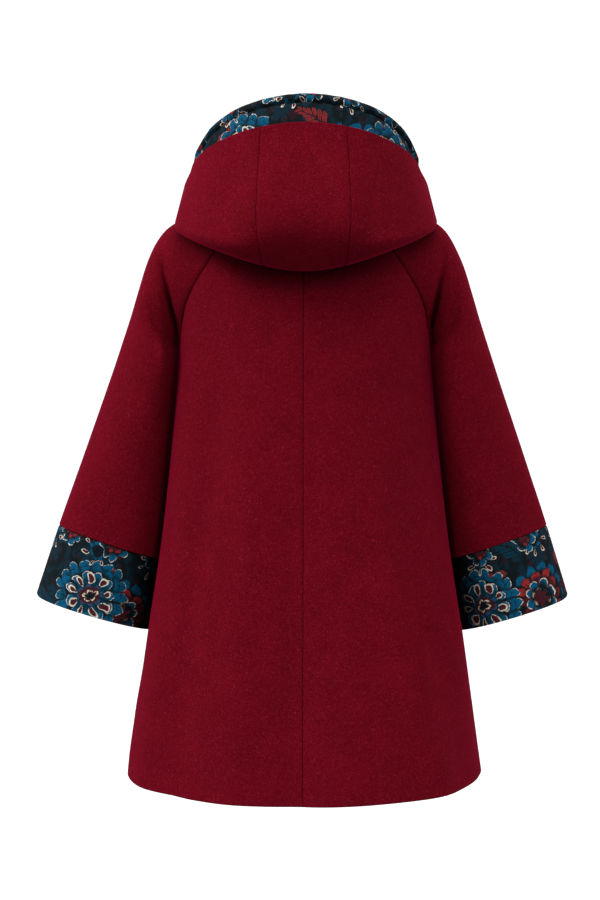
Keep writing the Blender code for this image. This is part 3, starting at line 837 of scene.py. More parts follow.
def petal_group():
    """A ring of round petals painted on a colour. Each petal goes from one colour at its root to another,
    with dark gaps beside it and a drawn edge round its tip."""
    inputs = sockets_of("Color", "Under", "Inner", "Outer", "Gap", "Edge") | sockets_of(
        "Float", "Angle", "Distance", "Petals", "Root", "Tip", "Change", "Line", "Seed", "Pen"
    )
    tree, made, given, results = new_group("Petal ring", inputs, {"Colour": "Color"})
    sector = given["Angle"] * given["Petals"] / (2 * math.pi) + given["Seed"]
    petal = made.math("FLOORED_MODULO", made.math("FLOOR", sector), given["Petals"])
    seed = {"W": petal + given["Seed"]}
    chance = made.value("ShaderNodeTexWhiteNoise", seed, "Value", noise_dimensions="1D")
    beside = abs((made.math("FRACT", sector) - 0.5) * 2.0)
    span = given["Tip"] - given["Root"]
    reach = span * (1.0 - chance * 0.22)
    inside = given["Root"] + reach * made.bulge(beside**2.4) - given["Distance"]
    along = made.math("DIVIDE", given["Distance"] - given["Root"], span, clamp=True)
    late = along - (given["Change"] + (chance - 0.5) * 0.3)
    body = made.mix(made.remap(late, -0.10, 0.14), given["Inner"], given["Outer"])
    body = made.mix(made.remap(beside, 0.66, 0.96), body, given["Gap"])
    body = made.mix(made.remap(chance, 0.35, 0.95) * 0.55, body, given["Inner"])
    vein = made.remap(beside, 0.16, 0.05) * made.remap(along, 0.65, 0.35)
    body = made.mix(vein * 0.7, body, given["Gap"])
    off_line = abs(inside - given["Line"] * 0.6)
    line = made.remap(off_line, given["Line"] * 1.25, given["Line"] * 0.55)
    line = line * (made.remap(beside, 0.90, 0.70) * given["Pen"])
    drawn = made.mix(line, body, given["Edge"])
    covered = made.math("MAXIMUM", made.remap(inside, -0.010, 0.010), line)
    made.feed(results["Colour"], made.mix(covered, given["Under"], drawn))
    return tree


def drop_group():
    """A ring of drops painted on a colour, each with its own heart."""
    inputs = sockets_of("Color", "Under", "Body", "Heart") | sockets_of(
        "Float", "Angle", "Distance", "Drops", "Ring", "Breadth", "Length", "Seed", "Pen"
    )
    tree, made, given, results = new_group("Drop ring", inputs, {"Colour": "Color"})
    sector = given["Angle"] * given["Drops"] / (2 * math.pi) + given["Seed"]
    beside = (made.math("FRACT", sector) - 0.5) * (2 * math.pi) / given["Drops"] * given["Distance"]
    out = (given["Distance"] - given["Ring"]) / given["Length"]
    breadth = given["Breadth"] * (out * 0.45 + 1.0)
    apart = made.hypotenuse(beside / breadth, out)
    drop = made.mix(made.remap(apart, 0.80, 0.66), given["Body"], given["Heart"])
    drawn = made.remap(apart, 1.08, 0.92) * made.remap(given["Pen"] + out, -0.4, 0.3)
    made.feed(results["Colour"], made.mix(drawn, given["Under"], drop))
    return tree


def spray_group():
    """A bent stem with pairs of leaves painted on a colour, from 0 to 1 along the motif."""
    inputs = sockets_of("Color", "Under", "Leaf", "Rib") | sockets_of(
        "Float", "Across", "Along", "Leaves", "Bend"
    )
    tree, made, given, results = new_group("Leaf spray", inputs, {"Colour": "Color"})
    along = given["Along"]
    aside = abs(given["Across"] - given["Bend"] * (along * along))
    level = along - aside * 0.85
    inside = made.remap(level, -0.02, 0.0) * made.remap(level, 1.0, 0.98)
    half = made.math("SUBTRACT", 1.05, level, clamp=True) ** 0.6 * 0.17
    place = (aside - half) / half
    across = abs(made.math("FRACT", level * given["Leaves"]) - 0.5)
    room = made.bulge(place * place) * 0.42 - across
    leaf = made.remap(room, -0.02, 0.06) * inside
    stem = made.remap(aside, 0.022, 0.010) * made.remap(along, 0.97, 0.93)
    stem = stem * made.remap(along, -0.08, -0.04)
    ribbed = made.mix(made.remap(across, 0.10, 0.02), given["Leaf"], given["Rib"])
    drawn = made.mix(stem, ribbed, given["Rib"])
    made.feed(results["Colour"], made.mix(made.math("MAXIMUM", leaf, stem), given["Under"], drawn))
    return tree


def group_named(name):
    """A node group of this file, made when it is first asked for."""
    makers = {
        "Felt fibres": felt_group,
        "Dark hollows": painted_shade_group,
        "Motif place": place_group,
        "Petal ring": petal_group,
        "Drop ring": drop_group,
        "Leaf spray": spray_group,
    }
    return bpy.data.node_groups.get(name) or makers[name]()


def new_material(name):
    material = bpy.data.materials.new(name)
    material.use_nodes = True
    return material, Nodes(material.node_tree), material.node_tree.nodes["Principled BSDF"]


# Painted shade in hollows: how a hollow darkens a colour where shade would fall, how far off other cloth
# counts, how open a point is where it is darkest and where it is plain, and the share of its colour that the
# darkest keeps
PaintedShade = namedtuple("PaintedShade", "reach closed open darkest")
WOOL_PAINTED_SHADE = (PaintedShade(0.017, 0.10, 0.54, 0.08), PaintedShade(0.003, 0.10, 0.65, 0.12))
# The print's painted shade: in creases and stitch lines, and over the lining's band inside the hood
PRINT_PAINTED_SHADE = (PaintedShade(0.012, 0.15, 0.80, 0.04), PaintedShade(0.080, 0.26, 0.97, 0.10))
# Painted shadow: the body's wool is darkened from further off just under the hood, where the hood's shadow
# falls. The reach fades out between two heights.
PAINTED_HOOD_SHADOW = PaintedShade(0.056, 0.28, 0.90, 0.05)
PAINTED_HOOD_SHADOW_HEIGHTS = (-0.215, -0.160)
LEAST_REACH = 0.001
CLUMP_SIZE = 0.0030
FIBRE_SIZE = 0.0011
PIT_COLOUR = (0.03, 0.0004, 0.0018, 1)
SHEEN_ROUGHNESS = 0.36
# How strongly a cloth's grain stands out and how high it is, and how much the cloth mirrors
WOOL_BUMP = {"Strength": 0.60, "Distance": 0.0012}
WOOL_SPECULAR = 0.02
PRINT_BUMP = {"Strength": 0.35, "Distance": 0.0004}
PRINT_SPECULAR = 0.03
# How fine the print's weave, its worn patches and the breaks in its drawing are
WEAVE_SCALE = 1500.0
WORN_SCALE = 300.0
BREAKS_SCALE = 420.0
# How the print's design strays from its place: the scale of each stray, and how far it goes
PRINT_STRAYS = ((34.0, 0.0150), (110.0, 0.0040), (330.0, 0.0013))
# How much the petals' seed differs from one motif to the next
SEED_STEP = 0.37


def paint_shade(made, colour, painted_shade):
    """The colour with painted shade in its hollows."""
    return made.group("Dark hollows", colour=colour, **painted_shade._asdict())["Colour"]


def wool_material(name):
    """The body's wool, with a painted shadow under the hood, or the hood's own without it."""
    wool = bpy.context.scene.jacket_wool
    material, made, shader = new_material(name)
    place = made.value("ShaderNodeTexCoord", output="Object")
    felt = made.group("Felt fibres", vector=place, clump_size=CLUMP_SIZE, fibre_size=FIBRE_SIZE)
    deep, plain, light = ((*colour, 1) for colour in (wool.deep_colour, wool.colour, wool.fibre_colour))
    colour = made.mix(made.remap(felt["Cloud"], 0.30, 0.70), deep, plain)
    colour = made.mix(made.remap(felt["Clump"], 0.42, 0.62, to_high=0.50), colour, deep)
    colour = made.mix(felt["Fibre"] * wool.fibre_share, colour, light)
    colour = made.mix(felt["Fleck"] * wool.fleck_share, colour, light)
    colour = made.mix(felt["Pit"] * wool.pit_share, colour, PIT_COLOUR)
    # Painted shade: the wool darkens in its hollows and creases
    for painted_shade in WOOL_PAINTED_SHADE:
        colour = paint_shade(made, colour, painted_shade)
    # Painted shadow under the hood on the body's and the sleeves' wool
    if name == BODY_WOOL_WITH_PAINTED_SHADOW:
        height = made.value("ShaderNodeSeparateXYZ", {0: place}, "Z")
        reach = made.remap(height, *PAINTED_HOOD_SHADOW_HEIGHTS, LEAST_REACH, PAINTED_HOOD_SHADOW.reach)
        colour = paint_shade(made, colour, PAINTED_HOOD_SHADOW._replace(reach=reach))
    bump = WOOL_BUMP | {"Height": felt["Height"]}
    made.feed(shader.inputs["Base Color"], colour)
    made.feed(shader.inputs["Roughness"], made.remap(felt["Clump"], 0.3, 0.7, 0.86, 0.97))
    made.feed(shader.inputs["Normal"], made.value("ShaderNodeBump", bump, "Normal"))
    shader.inputs["Specular IOR Level"].default_value = WOOL_SPECULAR
    shader.inputs["Sheen Weight"].default_value = wool.sheen
    shader.inputs["Sheen Roughness"].default_value = SHEEN_ROUGHNESS
    shader.inputs["Sheen Tint"].default_value = (*wool.sheen_colour, 1)
    return material


# A ring of petals. root and tip are shares of the motif's size, and the colour turns from inner to outer at
# change. edge is the colour of the line drawn round the tips.
Petals = namedtuple("Petals", "petals root tip inner outer change edge line")
# A ring of drops round the middle, and a spray of leaves on a bent stem
Drops = namedtuple("Drops", "drops ring breadth length body heart")
Leaves = namedtuple("Leaves", "leaves bend leaf rib")
PART_GROUPS = {Petals: "Petal ring", Drops: "Drop ring", Leaves: "Leaf spray"}
# A motif: its place, size and turn, how far apart its repeats are, and its parts from the undermost up
Motif = namedtuple("Motif", "x y size turn repeat_x repeat_y parts")
SHADOW_BLOOM = (
    Petals(9, 0.55, 1.00, "ground", "dusk", 0.30, "ground", 0.020),
    Petals(7, 0.20, 0.60, "dusk", "plum", 0.40, "ground", 0.020),
)
DAHLIA = (
    Petals(17, 0.66, 1.00, "teal", "blue", 0.30, "cream", 0.010),
    Petals(14, 0.50, 0.84, "ground", "blue", 0.45, "ground", 0.014),
    Petals(11, 0.34, 0.68, "teal", "blue", 0.40, "cream", 0.012),
    Drops(9, 0.440, 0.085, 0.150, "cream", "burgundy"),
    Petals(8, 0.10, 0.36, "burgundy", "blue", 0.55, "ground", 0.020),
    Petals(5, 0.04, 0.19, "ground", "burgundy", 0.45, "cream", 0.022),
)
ASTER = (
    Petals(14, 0.62, 1.00, "ground", "blue", 0.35, "ground", 0.020),
    Petals(12, 0.40, 0.78, "burgundy", "red", 0.45, "ground", 0.020),
    Petals(8, 0.20, 0.54, "ground", "blue", 0.40, "cream", 0.020),
    Petals(6, 0.06, 0.30, "burgundy", "cream", 0.75, "ground", 0.026),
)
POSY = (
    Petals(7, 0.30, 1.00, "ground", "blue", 0.35, "cream", 0.030),
    Petals(5, 0.10, 0.46, "burgundy", "red", 0.45, "ground", 0.050),
)
CREAM_FAN = (
    Drops(7, 0.740, 0.100, 0.230, "cream", "burgundy"),
    Petals(7, 0.16, 0.60, "ground", "blue", 0.40, "ground", 0.040),
)
MOTIFS = (
    Motif(0.030, -0.040, 0.040, 0.3, 0.093, 0.079, SHADOW_BLOOM),
    Motif(0.060, -0.030, 0.046, -0.6, 0.149, 0.101, (Leaves(5.0, -0.25, "teal", "ground"),)),
    Motif(-0.030, -0.064, 0.044, 0.9, 0.127, 0.118, (Leaves(6.0, 0.22, "red", "ground"),)),
    Motif(0.158, -0.078, 0.042, 2.5, 0.206, 0.141, (Leaves(5.0, -0.20, "burgundy", "ground"),)),
    Motif(-0.074, -0.098, 0.050, 0.55, 0.236, 0.137, ASTER),
    Motif(0.112, -0.084, 0.055, 0.10, 0.268, 0.163, DAHLIA),
    Motif(0.022, -0.020, 0.023, 0.30, 0.083, 0.117, CREAM_FAN),
    Motif(0.058, -0.010, 0.021, 0.35, 0.067, 0.143, POSY),
)


def painted(made, under, part, at, seed, pen, colours):
    """The colour under a part of a motif, with the part painted over it."""
    given = {field: colours.get(value, value) for field, value in part._asdict().items()}
    if isinstance(part, Leaves):
        given |= {"across": at["Across"], "along": at["Along"]}
    else:
        given |= {"angle": at["Angle"], "distance": at["Distance"], "seed": seed, "pen": pen}
    if isinstance(part, Petals):
        given["gap"] = colours["ground"]
    return made.group(PART_GROUPS[type(part)], under=under, **given)["Colour"]


def print_colour(made, place, colours):
    """The printed design's colour: a dark clouded ground, and the motifs painted over it one by one."""
    tone = made.noise(place, 60.0, distortion=1.0)
    shade = made.noise(place, 45.0, detail=1.0, distortion=0.6)
    broken = made.remap(made.noise(place, BREAKS_SCALE, detail=1.0), 0.40, 0.50)
    colour = made.mix(made.remap(tone, 0.50, 0.60, to_high=0.8), colours["ground"], colours["dusk"])
    colour = made.mix(made.remap(shade, 0.58, 0.68, to_high=0.7), colour, colours["plum"])
    for order, motif in enumerate(MOTIFS):
        centre, repeat = (motif.x, motif.y, 0), (motif.repeat_x, motif.repeat_y, 1.0)
        at = made.group(
            "Motif place", vector=place, centre=centre, repeat=repeat, size=motif.size, turn=motif.turn
        )
        for part in motif.parts:
            colour = painted(made, colour, part, at, SEED_STEP * order, broken, colours)
    return colour


def print_material():
    """The printed cotton, its design a little uneven and worn, with painted shade in its hollows and on the
    lining's band inside the hood.
    """
    dye = bpy.context.scene.jacket_print
    material, made, shader = new_material(PRINT)
    place = made.value("ShaderNodeUVMap", output="UV", uv_map=CLOTH_UV)
    colours = {name: (*getattr(dye, name), 1) for name in PRINT_COLOURS}
    drawn = place
    for scale, amount in PRINT_STRAYS:
        drawn = made.warp(drawn, scale, amount)
    colour = print_colour(made, drawn, colours)
    worn = made.noise(place, WORN_SCALE, detail=3.0, roughness=0.6, distortion=0.8)
    colour = made.mix(made.remap(worn, 0.45, 0.72, to_high=0.60), colour, colours["ground"])
    # Painted shade in the print's hollows
    for painted_shade in PRINT_PAINTED_SHADE:
        colour = paint_shade(made, colour, painted_shade)
    weave = made.noise(place, WEAVE_SCALE, roughness=0.6)
    bump = PRINT_BUMP | {"Height": weave}
    made.feed(shader.inputs["Base Color"], colour)
    made.feed(shader.inputs["Roughness"], made.remap(weave, 0.3, 0.7, 0.60, 0.80))
    made.feed(shader.inputs["Normal"], made.value("ShaderNodeBump", bump, "Normal"))
    shader.inputs["Specular IOR Level"].default_value = PRINT_SPECULAR
    return material


def finish_named(name):
    """The material of this name, made when it is first asked for."""
    if name not in bpy.data.materials:
        return print_material() if name == PRINT else wool_material(name)
    return bpy.data.materials[name]


# ---------------------------------------------------------------------------------------------------------
# Settings
# ---------------------------------------------------------------------------------------------------------


class ClothSettings(PropertyGroup):
    """The sizes of the cloth."""

    wool: FloatProperty(
        name="Wool", description="How thick the felted wool is", default=0.0022, unit="LENGTH", precision=4
    )
    cotton: FloatProperty(
        name="Print", description="How thick the printed cloth is", default=0.0014, unit="LENGTH", precision=4
    )
    hem_turn: FloatProperty(
        name="Hem turn-up", description="How deep the hem is turned up inside", default=0.035, unit="LENGTH"
    )
    cell: FloatProperty(
        name="Mesh cell", description="How wide a face is", default=0.0046, unit="LENGTH", precision=4
    )


class WoolSettings(PropertyGroup):
    """The finish of the felted wool."""

    colour: FloatVectorProperty(
        name="Wool", description="The wool's main colour", subtype="COLOR", default=(0.102, 0.0007, 0.0050)
    )
    deep_colour: FloatVectorProperty(
        name="Deep", description="Colour between clumps", subtype="COLOR", default=(0.077, 0.0005, 0.0032)
    )
    fibre_colour: FloatVectorProperty(
        name="Fibres", description="The pale fibres", subtype="COLOR", default=(0.255, 0.012, 0.034)
    )
    fibre_share: FloatProperty(name="Fibre share", description="How much the pale fibres show", default=0.35)
    fleck_share: FloatProperty(name="Fleck share", description="How much the pale flecks show", default=0.95)
    pit_share: FloatProperty(name="Pit share", description="How much the dark pits show", default=0.62)
    sheen: FloatProperty(name="Sheen", description="The glow of the nap at its edges", default=0.24)
    sheen_colour: FloatVectorProperty(
        name="Sheen colour", description="The nap's glow against the light", subtype="COLOR",
        default=(1.00, 0.012, 0.110),
    )


PRINT_COLOURS = ("ground", "dusk", "plum", "blue", "teal", "burgundy", "red", "cream")


class PrintSettings(PropertyGroup):
    """The colours of the printed cloth."""

    ground: FloatVectorProperty(
        name="Ground", description="The dark ground", subtype="COLOR", default=(0.0045, 0.0080, 0.0100)
    )
    dusk: FloatVectorProperty(
        name="Dusk", description="Dim blue on the ground", subtype="COLOR", default=(0.0050, 0.0200, 0.0330)
    )
    plum: FloatVectorProperty(
        name="Plum", description="Dim red on the ground", subtype="COLOR", default=(0.0210, 0.0080, 0.0120)
    )
    blue: FloatVectorProperty(
        name="Blue", description="The petals", subtype="COLOR", default=(0.0015, 0.080, 0.165)
    )
    teal: FloatVectorProperty(
        name="Teal", description="The outer petals' roots", subtype="COLOR", default=(0.002, 0.034, 0.058)
    )
    burgundy: FloatVectorProperty(
        name="Burgundy", description="The darker red", subtype="COLOR", default=(0.062, 0.009, 0.013)
    )
    red: FloatVectorProperty(
        name="Red", description="The lighter red", subtype="COLOR", default=(0.240, 0.020, 0.022)
    )
    cream: FloatVectorProperty(
        name="Cream", description="The outlines and the drops", subtype="COLOR", default=(0.70, 0.62, 0.50)
    )


class StageSettings(PropertyGroup):
    """The studio round the jacket."""

    camera_distance: FloatProperty(
        name="Camera distance", description="From the neck's axis", default=2.13, unit="LENGTH"
    )
    camera_height: FloatProperty(
        name="Camera height", description="Above the origin", default=-0.38, unit="LENGTH"
    )
    camera_turn: FloatProperty(
        name="Camera turn", description="From straight behind", default=math.radians(1.1), subtype="ANGLE"
    )
    camera_aside: FloatProperty(
        name="Camera aside", description="To frame the jacket", default=0.007, unit="LENGTH", precision=3
    )
    lens: FloatProperty(name="Lens", description="Focal length in millimetres", default=60.24)
    floor_height: FloatProperty(
        name="Floor height", description="Above the origin", default=-1.40, unit="LENGTH"
    )
    sky: FloatProperty(name="Surround", description="How bright the surround is overhead", default=1.60)
    sides: FloatProperty(name="Sides", description="How much brighter its left and right are", default=1.2)
    shade: FloatProperty(name="Shade", description="How bright it is in front and below", default=0.20)
    key: FloatProperty(
        name="Key light", description="Watts of the light on the wearer's left", default=62.0, subtype="POWER"
    )


# ---------------------------------------------------------------------------------------------------------
# Pieces
# ---------------------------------------------------------------------------------------------------------

SIDES = {"left": 1, "right": -1}

# About how wide a body panel is round its curve, and how wide it is for the distance from its side seam
PANEL_WIDTH = 0.26
PANEL_BREADTH = 0.17
UNDERARM_DROP = 0.25
# Down to what height the sleeves hang beside the body, and how far out its folds fade there, and how fast
SLEEVE_FOOT_UP = -0.62
FOLDS_END = 0.1854
FOLDS_FADE = 0.036
NECK_MARGIN = 0.01
HEM_RADIUS = 0.0018
HEM_TURN_STEP = 0.0025

# About how wide and how long half a sleeve is, how wide it is at its narrower places, how long one of its
# rows is, and how far the waves of its front half lie from those of its back half
SLEEVE_WIDTH = 0.19
SLEEVE_LENGTH = 0.60
SLEEVE_BREADTH = 0.16
SLEEVE_ROW_LENGTH = 0.05
WAVE_SHIFT = 0.5
# face is 1 behind and -1 in front, and creased is how deep the crease is there
SleeveHalf = namedtuple("SleeveHalf", "name face across creased")
SLEEVE_HALVES = (SleeveHalf("back", 1, (0, 1), 1.0), SleeveHalf("front", -1, (1, 0), 0.7))

# How far a cuff reaches into its sleeve, in rows, and how long a row is there. Inside the sleeve it lies
# under the wool, and past the seam it comes up to the wool's middle within a short way.
CUFF_TUCK = 0.08
CUFF_ROW_LENGTH = 0.105
CUFF_CELLS = (110, 34)
CUFF_HEM_RADIUS = 0.0011
CUFF_GAP = 0.0003
CUFF_RISE = 0.0002
CUFF_RISE_OVER = 0.003
CUFF_PUCKER_WIDTH = 0.007
CUFF_TURN = 0.030
CUFF_TURN_STEP = 0.002

# The place of the crest on the hood's profile, and about how far it is from the neck's axis
CREST_PLACE = 2.0
CREST_RADIUS = 0.11
# Where the padding above the roll sets in and over how long, in halves of the roll's width, and its end's
# place on the profile. The gathers come and go in halves of the roll's width too.
PADDING_START = 0.2
PADDING_RISE = 0.8
PADDING_END = 5.2
GATHER_RISE = 0.6
GATHER_REACH = 2
LINING_GAP = 0.0002


def cells_for(width, length):
    """How many cells a panel of this size has, across and along."""
    cell = bpy.context.scene.jacket_cloth.cell
    return round(width / cell), round(length / cell)


def make_piece(node, finish, grid, points, above, below, origin=None):
    """One piece of cloth in the scene, its solid hidden. Its area and the size of its flat cut are worked out
    but not used.
    """
    name = f"cloth_{node}"
    coordinates = None if origin is None else flat_coordinates(points, *origin)
    mesh = cloth_mesh(name, points, above * grid.fullness, below * grid.fullness, coordinates)
    mesh.materials.append(finish_named(finish))
    piece = bpy.data.objects.new(name, mesh)
    bpy.context.scene.collection.objects.link(piece)
    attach(piece, BODY)
    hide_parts(node)
    corner = points[:-1, :-1]
    area = np.linalg.norm(np.cross(points[1:, :-1] - corner, points[:-1, 1:] - corner), axis=-1).sum()
    flat = tuple(round(float(lengths(points, axis).max()), 3) for axis in (0, 1))


def raised(grid, height):
    """The grid's points moved out by a height."""
    return grid.points + normals_of(grid.points) * height[..., None]


def body_grid(surface, across, rows):
    """The grid of a body panel, on the wearer's left."""
    drops = (rows[0].drop, rows[-1].drop)
    cells = cells_for(PANEL_WIDTH, drops[1] - drops[0])
    return make_grid(surface, across, drops, cells, bpy.context.scene.jacket_cloth.wool / 2, HEM_RADIUS)


def body_relief(grid, folds):
    """How far the body's cloth stands off its plain form."""
    x, up = grid.points[..., 0], grid.points[..., 2]
    beside = (1 - np.clip(grid.across, 0, 1)) * PANEL_BREADTH
    calm = np.where(grid.along < UNDERARM_DROP, calm_near(beside), calm_near(2 * beside))
    calm = calm * calm_near(grid.along - grid.along.min() + NECK_MARGIN)
    calm = calm * np.where(up > SLEEVE_FOOT_UP, ease((FOLDS_END - np.abs(x)) / FOLDS_FADE), 1.0)
    return (fold_height(folds, grid.points) + waves(WAVES, x, up)) * calm


def make_body_panel(node, grid, points):
    """A body panel, thicker on its inside where the hem is turned up."""
    cloth = bpy.context.scene.jacket_cloth
    turned_up = ease((cloth.hem_turn - (grid.along.max() - grid.along)) / HEM_TURN_STEP)
    below = cloth.wool / 2 + cloth.wool * turned_up
    make_piece(node, BODY_WOOL_WITH_PAINTED_SHADOW, grid, points, cloth.wool / 2, below)


class JACKET_OT_back(Operator):
    """Makes the two halves of the back"""

    bl_idname = "jacket.back"
    bl_label = "Back"

    def execute(self, context):
        plain = body_grid(back_surface, (1 + SEAM_OVERLAP, 0), BACK_ROWS)
        for side, sign in SIDES.items():
            grid = turned(plain, sign)
            points = raised(grid, body_relief(grid, BACK_FOLDS) + seam_sink(grid))
            make_body_panel(f"back_{side}", grid, points)
        return {"FINISHED"}


class JACKET_OT_fronts(Operator):
    """Makes the two fronts, the wearer's right one lapped over the left"""

    bl_idname = "jacket.fronts"
    bl_label = "Fronts"

    def execute(self, context):
        plain = body_grid(front_surface, (0, 1 + SEAM_OVERLAP), FRONT_ROWS)
        for side, sign in SIDES.items():
            grid = turned(plain, sign)
            sewn = seam_sink(grid, side == "right", side == "left")
            points = raised(grid, body_relief(grid, FRONT_FOLDS) + sewn)
            if side == "right":
                near = ease((LAP_EASE + FRONT_LAP + points[..., 0]) / LAP_EASE)
                level = normals_of(grid.points) * (1, 1, 0)
                lift = (LAP_LIFT * near)[..., None] * level
                points = points + lift / (level**2).sum(axis=-1, keepdims=True)
            make_body_panel(f"front_{side}", grid, points)
        return {"FINISHED"}


class JACKET_OT_sleeves(Operator):
    """Makes the back and the front half of each sleeve"""

    bl_idname = "jacket.sleeves"
    bl_label = "Sleeves"

    def execute(self, context):
        thick = context.scene.jacket_cloth.wool / 2
        cells = cells_for(SLEEVE_FINENESS * SLEEVE_WIDTH, SLEEVE_LENGTH)
        for side, sign in SIDES.items():
            for half in SLEEVE_HALVES:
                def surface(u, v):
                    return sleeve_surface(u, v, half.face, OUTER_SPREAD[sign])

                grid = turned(make_grid(surface, half.across, (0.0, CUFF_ROW), cells, thick), sign)
                calm = calm_near(SLEEVE_BREADTH * (1 - grid.across)) * calm_near(SLEEVE_BREADTH * grid.across)
                calm = calm * calm_near(grid.along * SLEEVE_ROW_LENGTH)
                slow = waves(WAVES, grid.points[..., 0] + WAVE_SHIFT * half.face, grid.points[..., 2])
                points = raised(grid, seam_sink(grid) * ease(UNDERARM_ROW - 1 - grid.along) + slow * calm)
                sunk = half.creased * crease_depth(SLEEVE_CREASES[sign], grid.points)
                sunk = sunk * ease(SLEEVE_WIDTH * (1 - grid.across) / SEAM_REACH)
                points = points - half.face * sunk[..., None] * (0, 1, 0)
                make_piece(f"sleeve_{half.name}_{side}", BODY_WOOL_WITH_PAINTED_SHADOW, grid, points, thick, thick)
        return {"FINISHED"}


class JACKET_OT_cuffs(Operator):
    """Makes the wide printed cuffs, which start just inside the sleeves"""

    bl_idname = "jacket.cuffs"
    bl_label = "Cuffs"

    def execute(self, context):
        cloth = context.scene.jacket_cloth
        thick = cloth.cotton / 2
        rows = (CUFF_ROW - CUFF_TUCK, HEM_ROW)
        for side, sign in SIDES.items():
            def surface(u, v):
                lift = CUFF_CORNER_LIFT * bell(u / CUFF_CORNER_REACH) * ease(v - CUFF_ROW)
                return cuff_surface(u, v - lift, OUTER_SPREAD[sign])

            grid = turned(make_grid(surface, (-1, 1), rows, CUFF_CELLS, thick, CUFF_HEM_RADIUS), sign)
            walked = lengths(grid.points, 1)
            from_hem = walked[:, -1:] - walked
            from_seam = (grid.along - CUFF_ROW) * CUFF_ROW_LENGTH
            under = -(cloth.wool + cloth.cotton) / 2 - CUFF_GAP
            level = under + (CUFF_RISE - under) * ease(from_seam / CUFF_RISE_OVER)
            stitch = bell((from_hem - CUFF_STITCH_RISE) / CUFF_STITCH_WIDTH)
            near_stitch = bell((from_hem - CUFF_STITCH_RISE) / CUFF_PUCKER_WIDTH)
            puckers = waves(CUFF_PUCKERS, lengths(grid.points, 0)) * near_stitch
            points = raised(grid, level - CUFF_STITCH_DEPTH * stitch + puckers)
            below = thick + cloth.cotton * ease((CUFF_TURN - from_hem) / CUFF_TURN_STEP)
            origin = (len(grid.points) // 2, 0)
            make_piece(f"cuff_{side}", PRINT, grid, points, thick, below, origin)
        return {"FINISHED"}


def hood_place(share):
    """The place on the hood's profile at a share of the grid's lines, which are closest on the roll."""
    return np.interp(share, *zip(*HOOD_LINES))


def hood_grids(end, radius):
    """The grids of the hood's three panels, named by their side, the whole hood hanging over a little."""

    def side_surface(across, share):
        return hood_side_surface(across, hood_place(share))

    def centre_surface(across, share):
        return hood_centre_surface(across, hood_place(share))

    side = make_grid(side_surface, (0, 1), (0, end), (HOOD_SIDE_CELLS, HOOD_CELLS), radius)
    centre = make_grid(centre_surface, (-1, 1), (0, end), (HOOD_CENTRE_CELLS, HOOD_CELLS), radius)
    side, centre = (grid._replace(along=hood_place(grid.along)) for grid in (side, centre))
    grids = {"left": turned(side, 1), "centre": centre, "right": turned(side, -1)}
    for name, grid in grids.items():
        lean = np.interp(grid.points[..., 2], LEAN_HEIGHTS, (HOOD_LEAN, CREST_LEAN)) * ease(grid.along)
        grids[name] = grid._replace(points=grid.points + lean[..., None] * (1, 0, 0))
    return grids


class JACKET_OT_hood(Operator):
    """Makes the hood's three panels of wool"""

    bl_idname = "jacket.hood"
    bl_label = "Hood"

    def execute(self, context):
        thick = context.scene.jacket_cloth.wool / 2
        for side, grid in hood_grids(1.0, thick).items():
            points = raised(grid, thick + seam_sink(grid, side != "right", side != "left"))
            make_piece(f"hood_{side}", HOOD_WOOL, grid, points, thick, thick)
        return {"FINISHED"}


class JACKET_OT_hood_lining(Operator):
    """Makes the hood's printed lining with its padded roll"""

    bl_idname = "jacket.hood_lining"
    bl_label = "Hood lining"

    def execute(self, context):
        thick = context.scene.jacket_cloth.cotton / 2
        for side, grid in hood_grids(LINING_END, thick).items():
            walked = lengths(grid.points, 1)
            middle = len(grid.points) // 2
            crest_row = int(np.argmin(np.abs(grid.along[middle] - CREST_PLACE)))
            past_crest = walked - walked[:, crest_row : crest_row + 1]
            along_crest = np.arctan2(grid.points[..., 0], grid.points[..., 1]) * CREST_RADIUS
            across_roll = (past_crest - ROLL_MIDDLE) / (ROLL_WIDTH / 2)
            roll = np.sqrt(np.clip(1 - across_roll**2, 0, 1)) * ROLL_HEIGHT
            past_roll = (past_crest - ROLL_MIDDLE - ROLL_WIDTH / 2) / ROLL_CREASE_WIDTH
            padding = ROLL_PADDING * ease((across_roll - PADDING_START) / PADDING_RISE)
            padding = padding * ease(PADDING_END - grid.along)
            crease = bell(past_roll) * ROLL_PADDING
            gather = waves(GATHERS, along_crest) * ease(across_roll / GATHER_RISE)
            gather = gather * bell(across_roll / GATHER_REACH)
            points = raised(grid, -thick - LINING_GAP + (-roll - padding + crease - gather))
            origin = (middle, crest_row)
            make_piece(f"hood_lining_{side}", PRINT, grid, points, thick, thick, origin)
        return {"FINISHED"}


# ---------------------------------------------------------------------------------------------------------
# Studio
# ---------------------------------------------------------------------------------------------------------

# The way that the surround's glow comes from, how white it looks itself, and where its sides set in
GLOW_WAY = (-0.06, 0.52, 0.85)
GLOW_EDGE = -0.2
SIDES_EDGE = 0.55
SEEN_WHITE = 1.15
# The key light stands on the wearer's left, behind the jacket, and rakes over its folds
KEY_PLACE = (2.3, 1.5, 1.5)
KEY_TARGET = (0.0, 0.1, -0.45)
KEY_SIZE = 1.1
FLOOR_RADIUS = 30.0
FLOOR_SIDES = 96
FLOOR_ROUGHNESS = 0.9
# How white the floor looks at its darkest and its lightest, how fine that changes, and how white it is for
# the light that it throws back
FLOOR_WHITES = (0.93, 0.96)
FLOOR_MOTTLE_SCALE = 3.0
FLOOR_BOUNCE = 0.22


class JACKET_OT_stage(Operator):
    """Makes the floor, the light and the camera"""

    bl_idname = "jacket.stage"
    bl_label = "Studio"

    def execute(self, context):
        stage = context.scene.jacket_stage
        context.scene.world = make_surround(stage)
        add_floor(stage)
        add_key(stage)
        add_camera(stage)
        context.scene.view_settings.view_transform = "Standard"
        return {"FINISHED"}


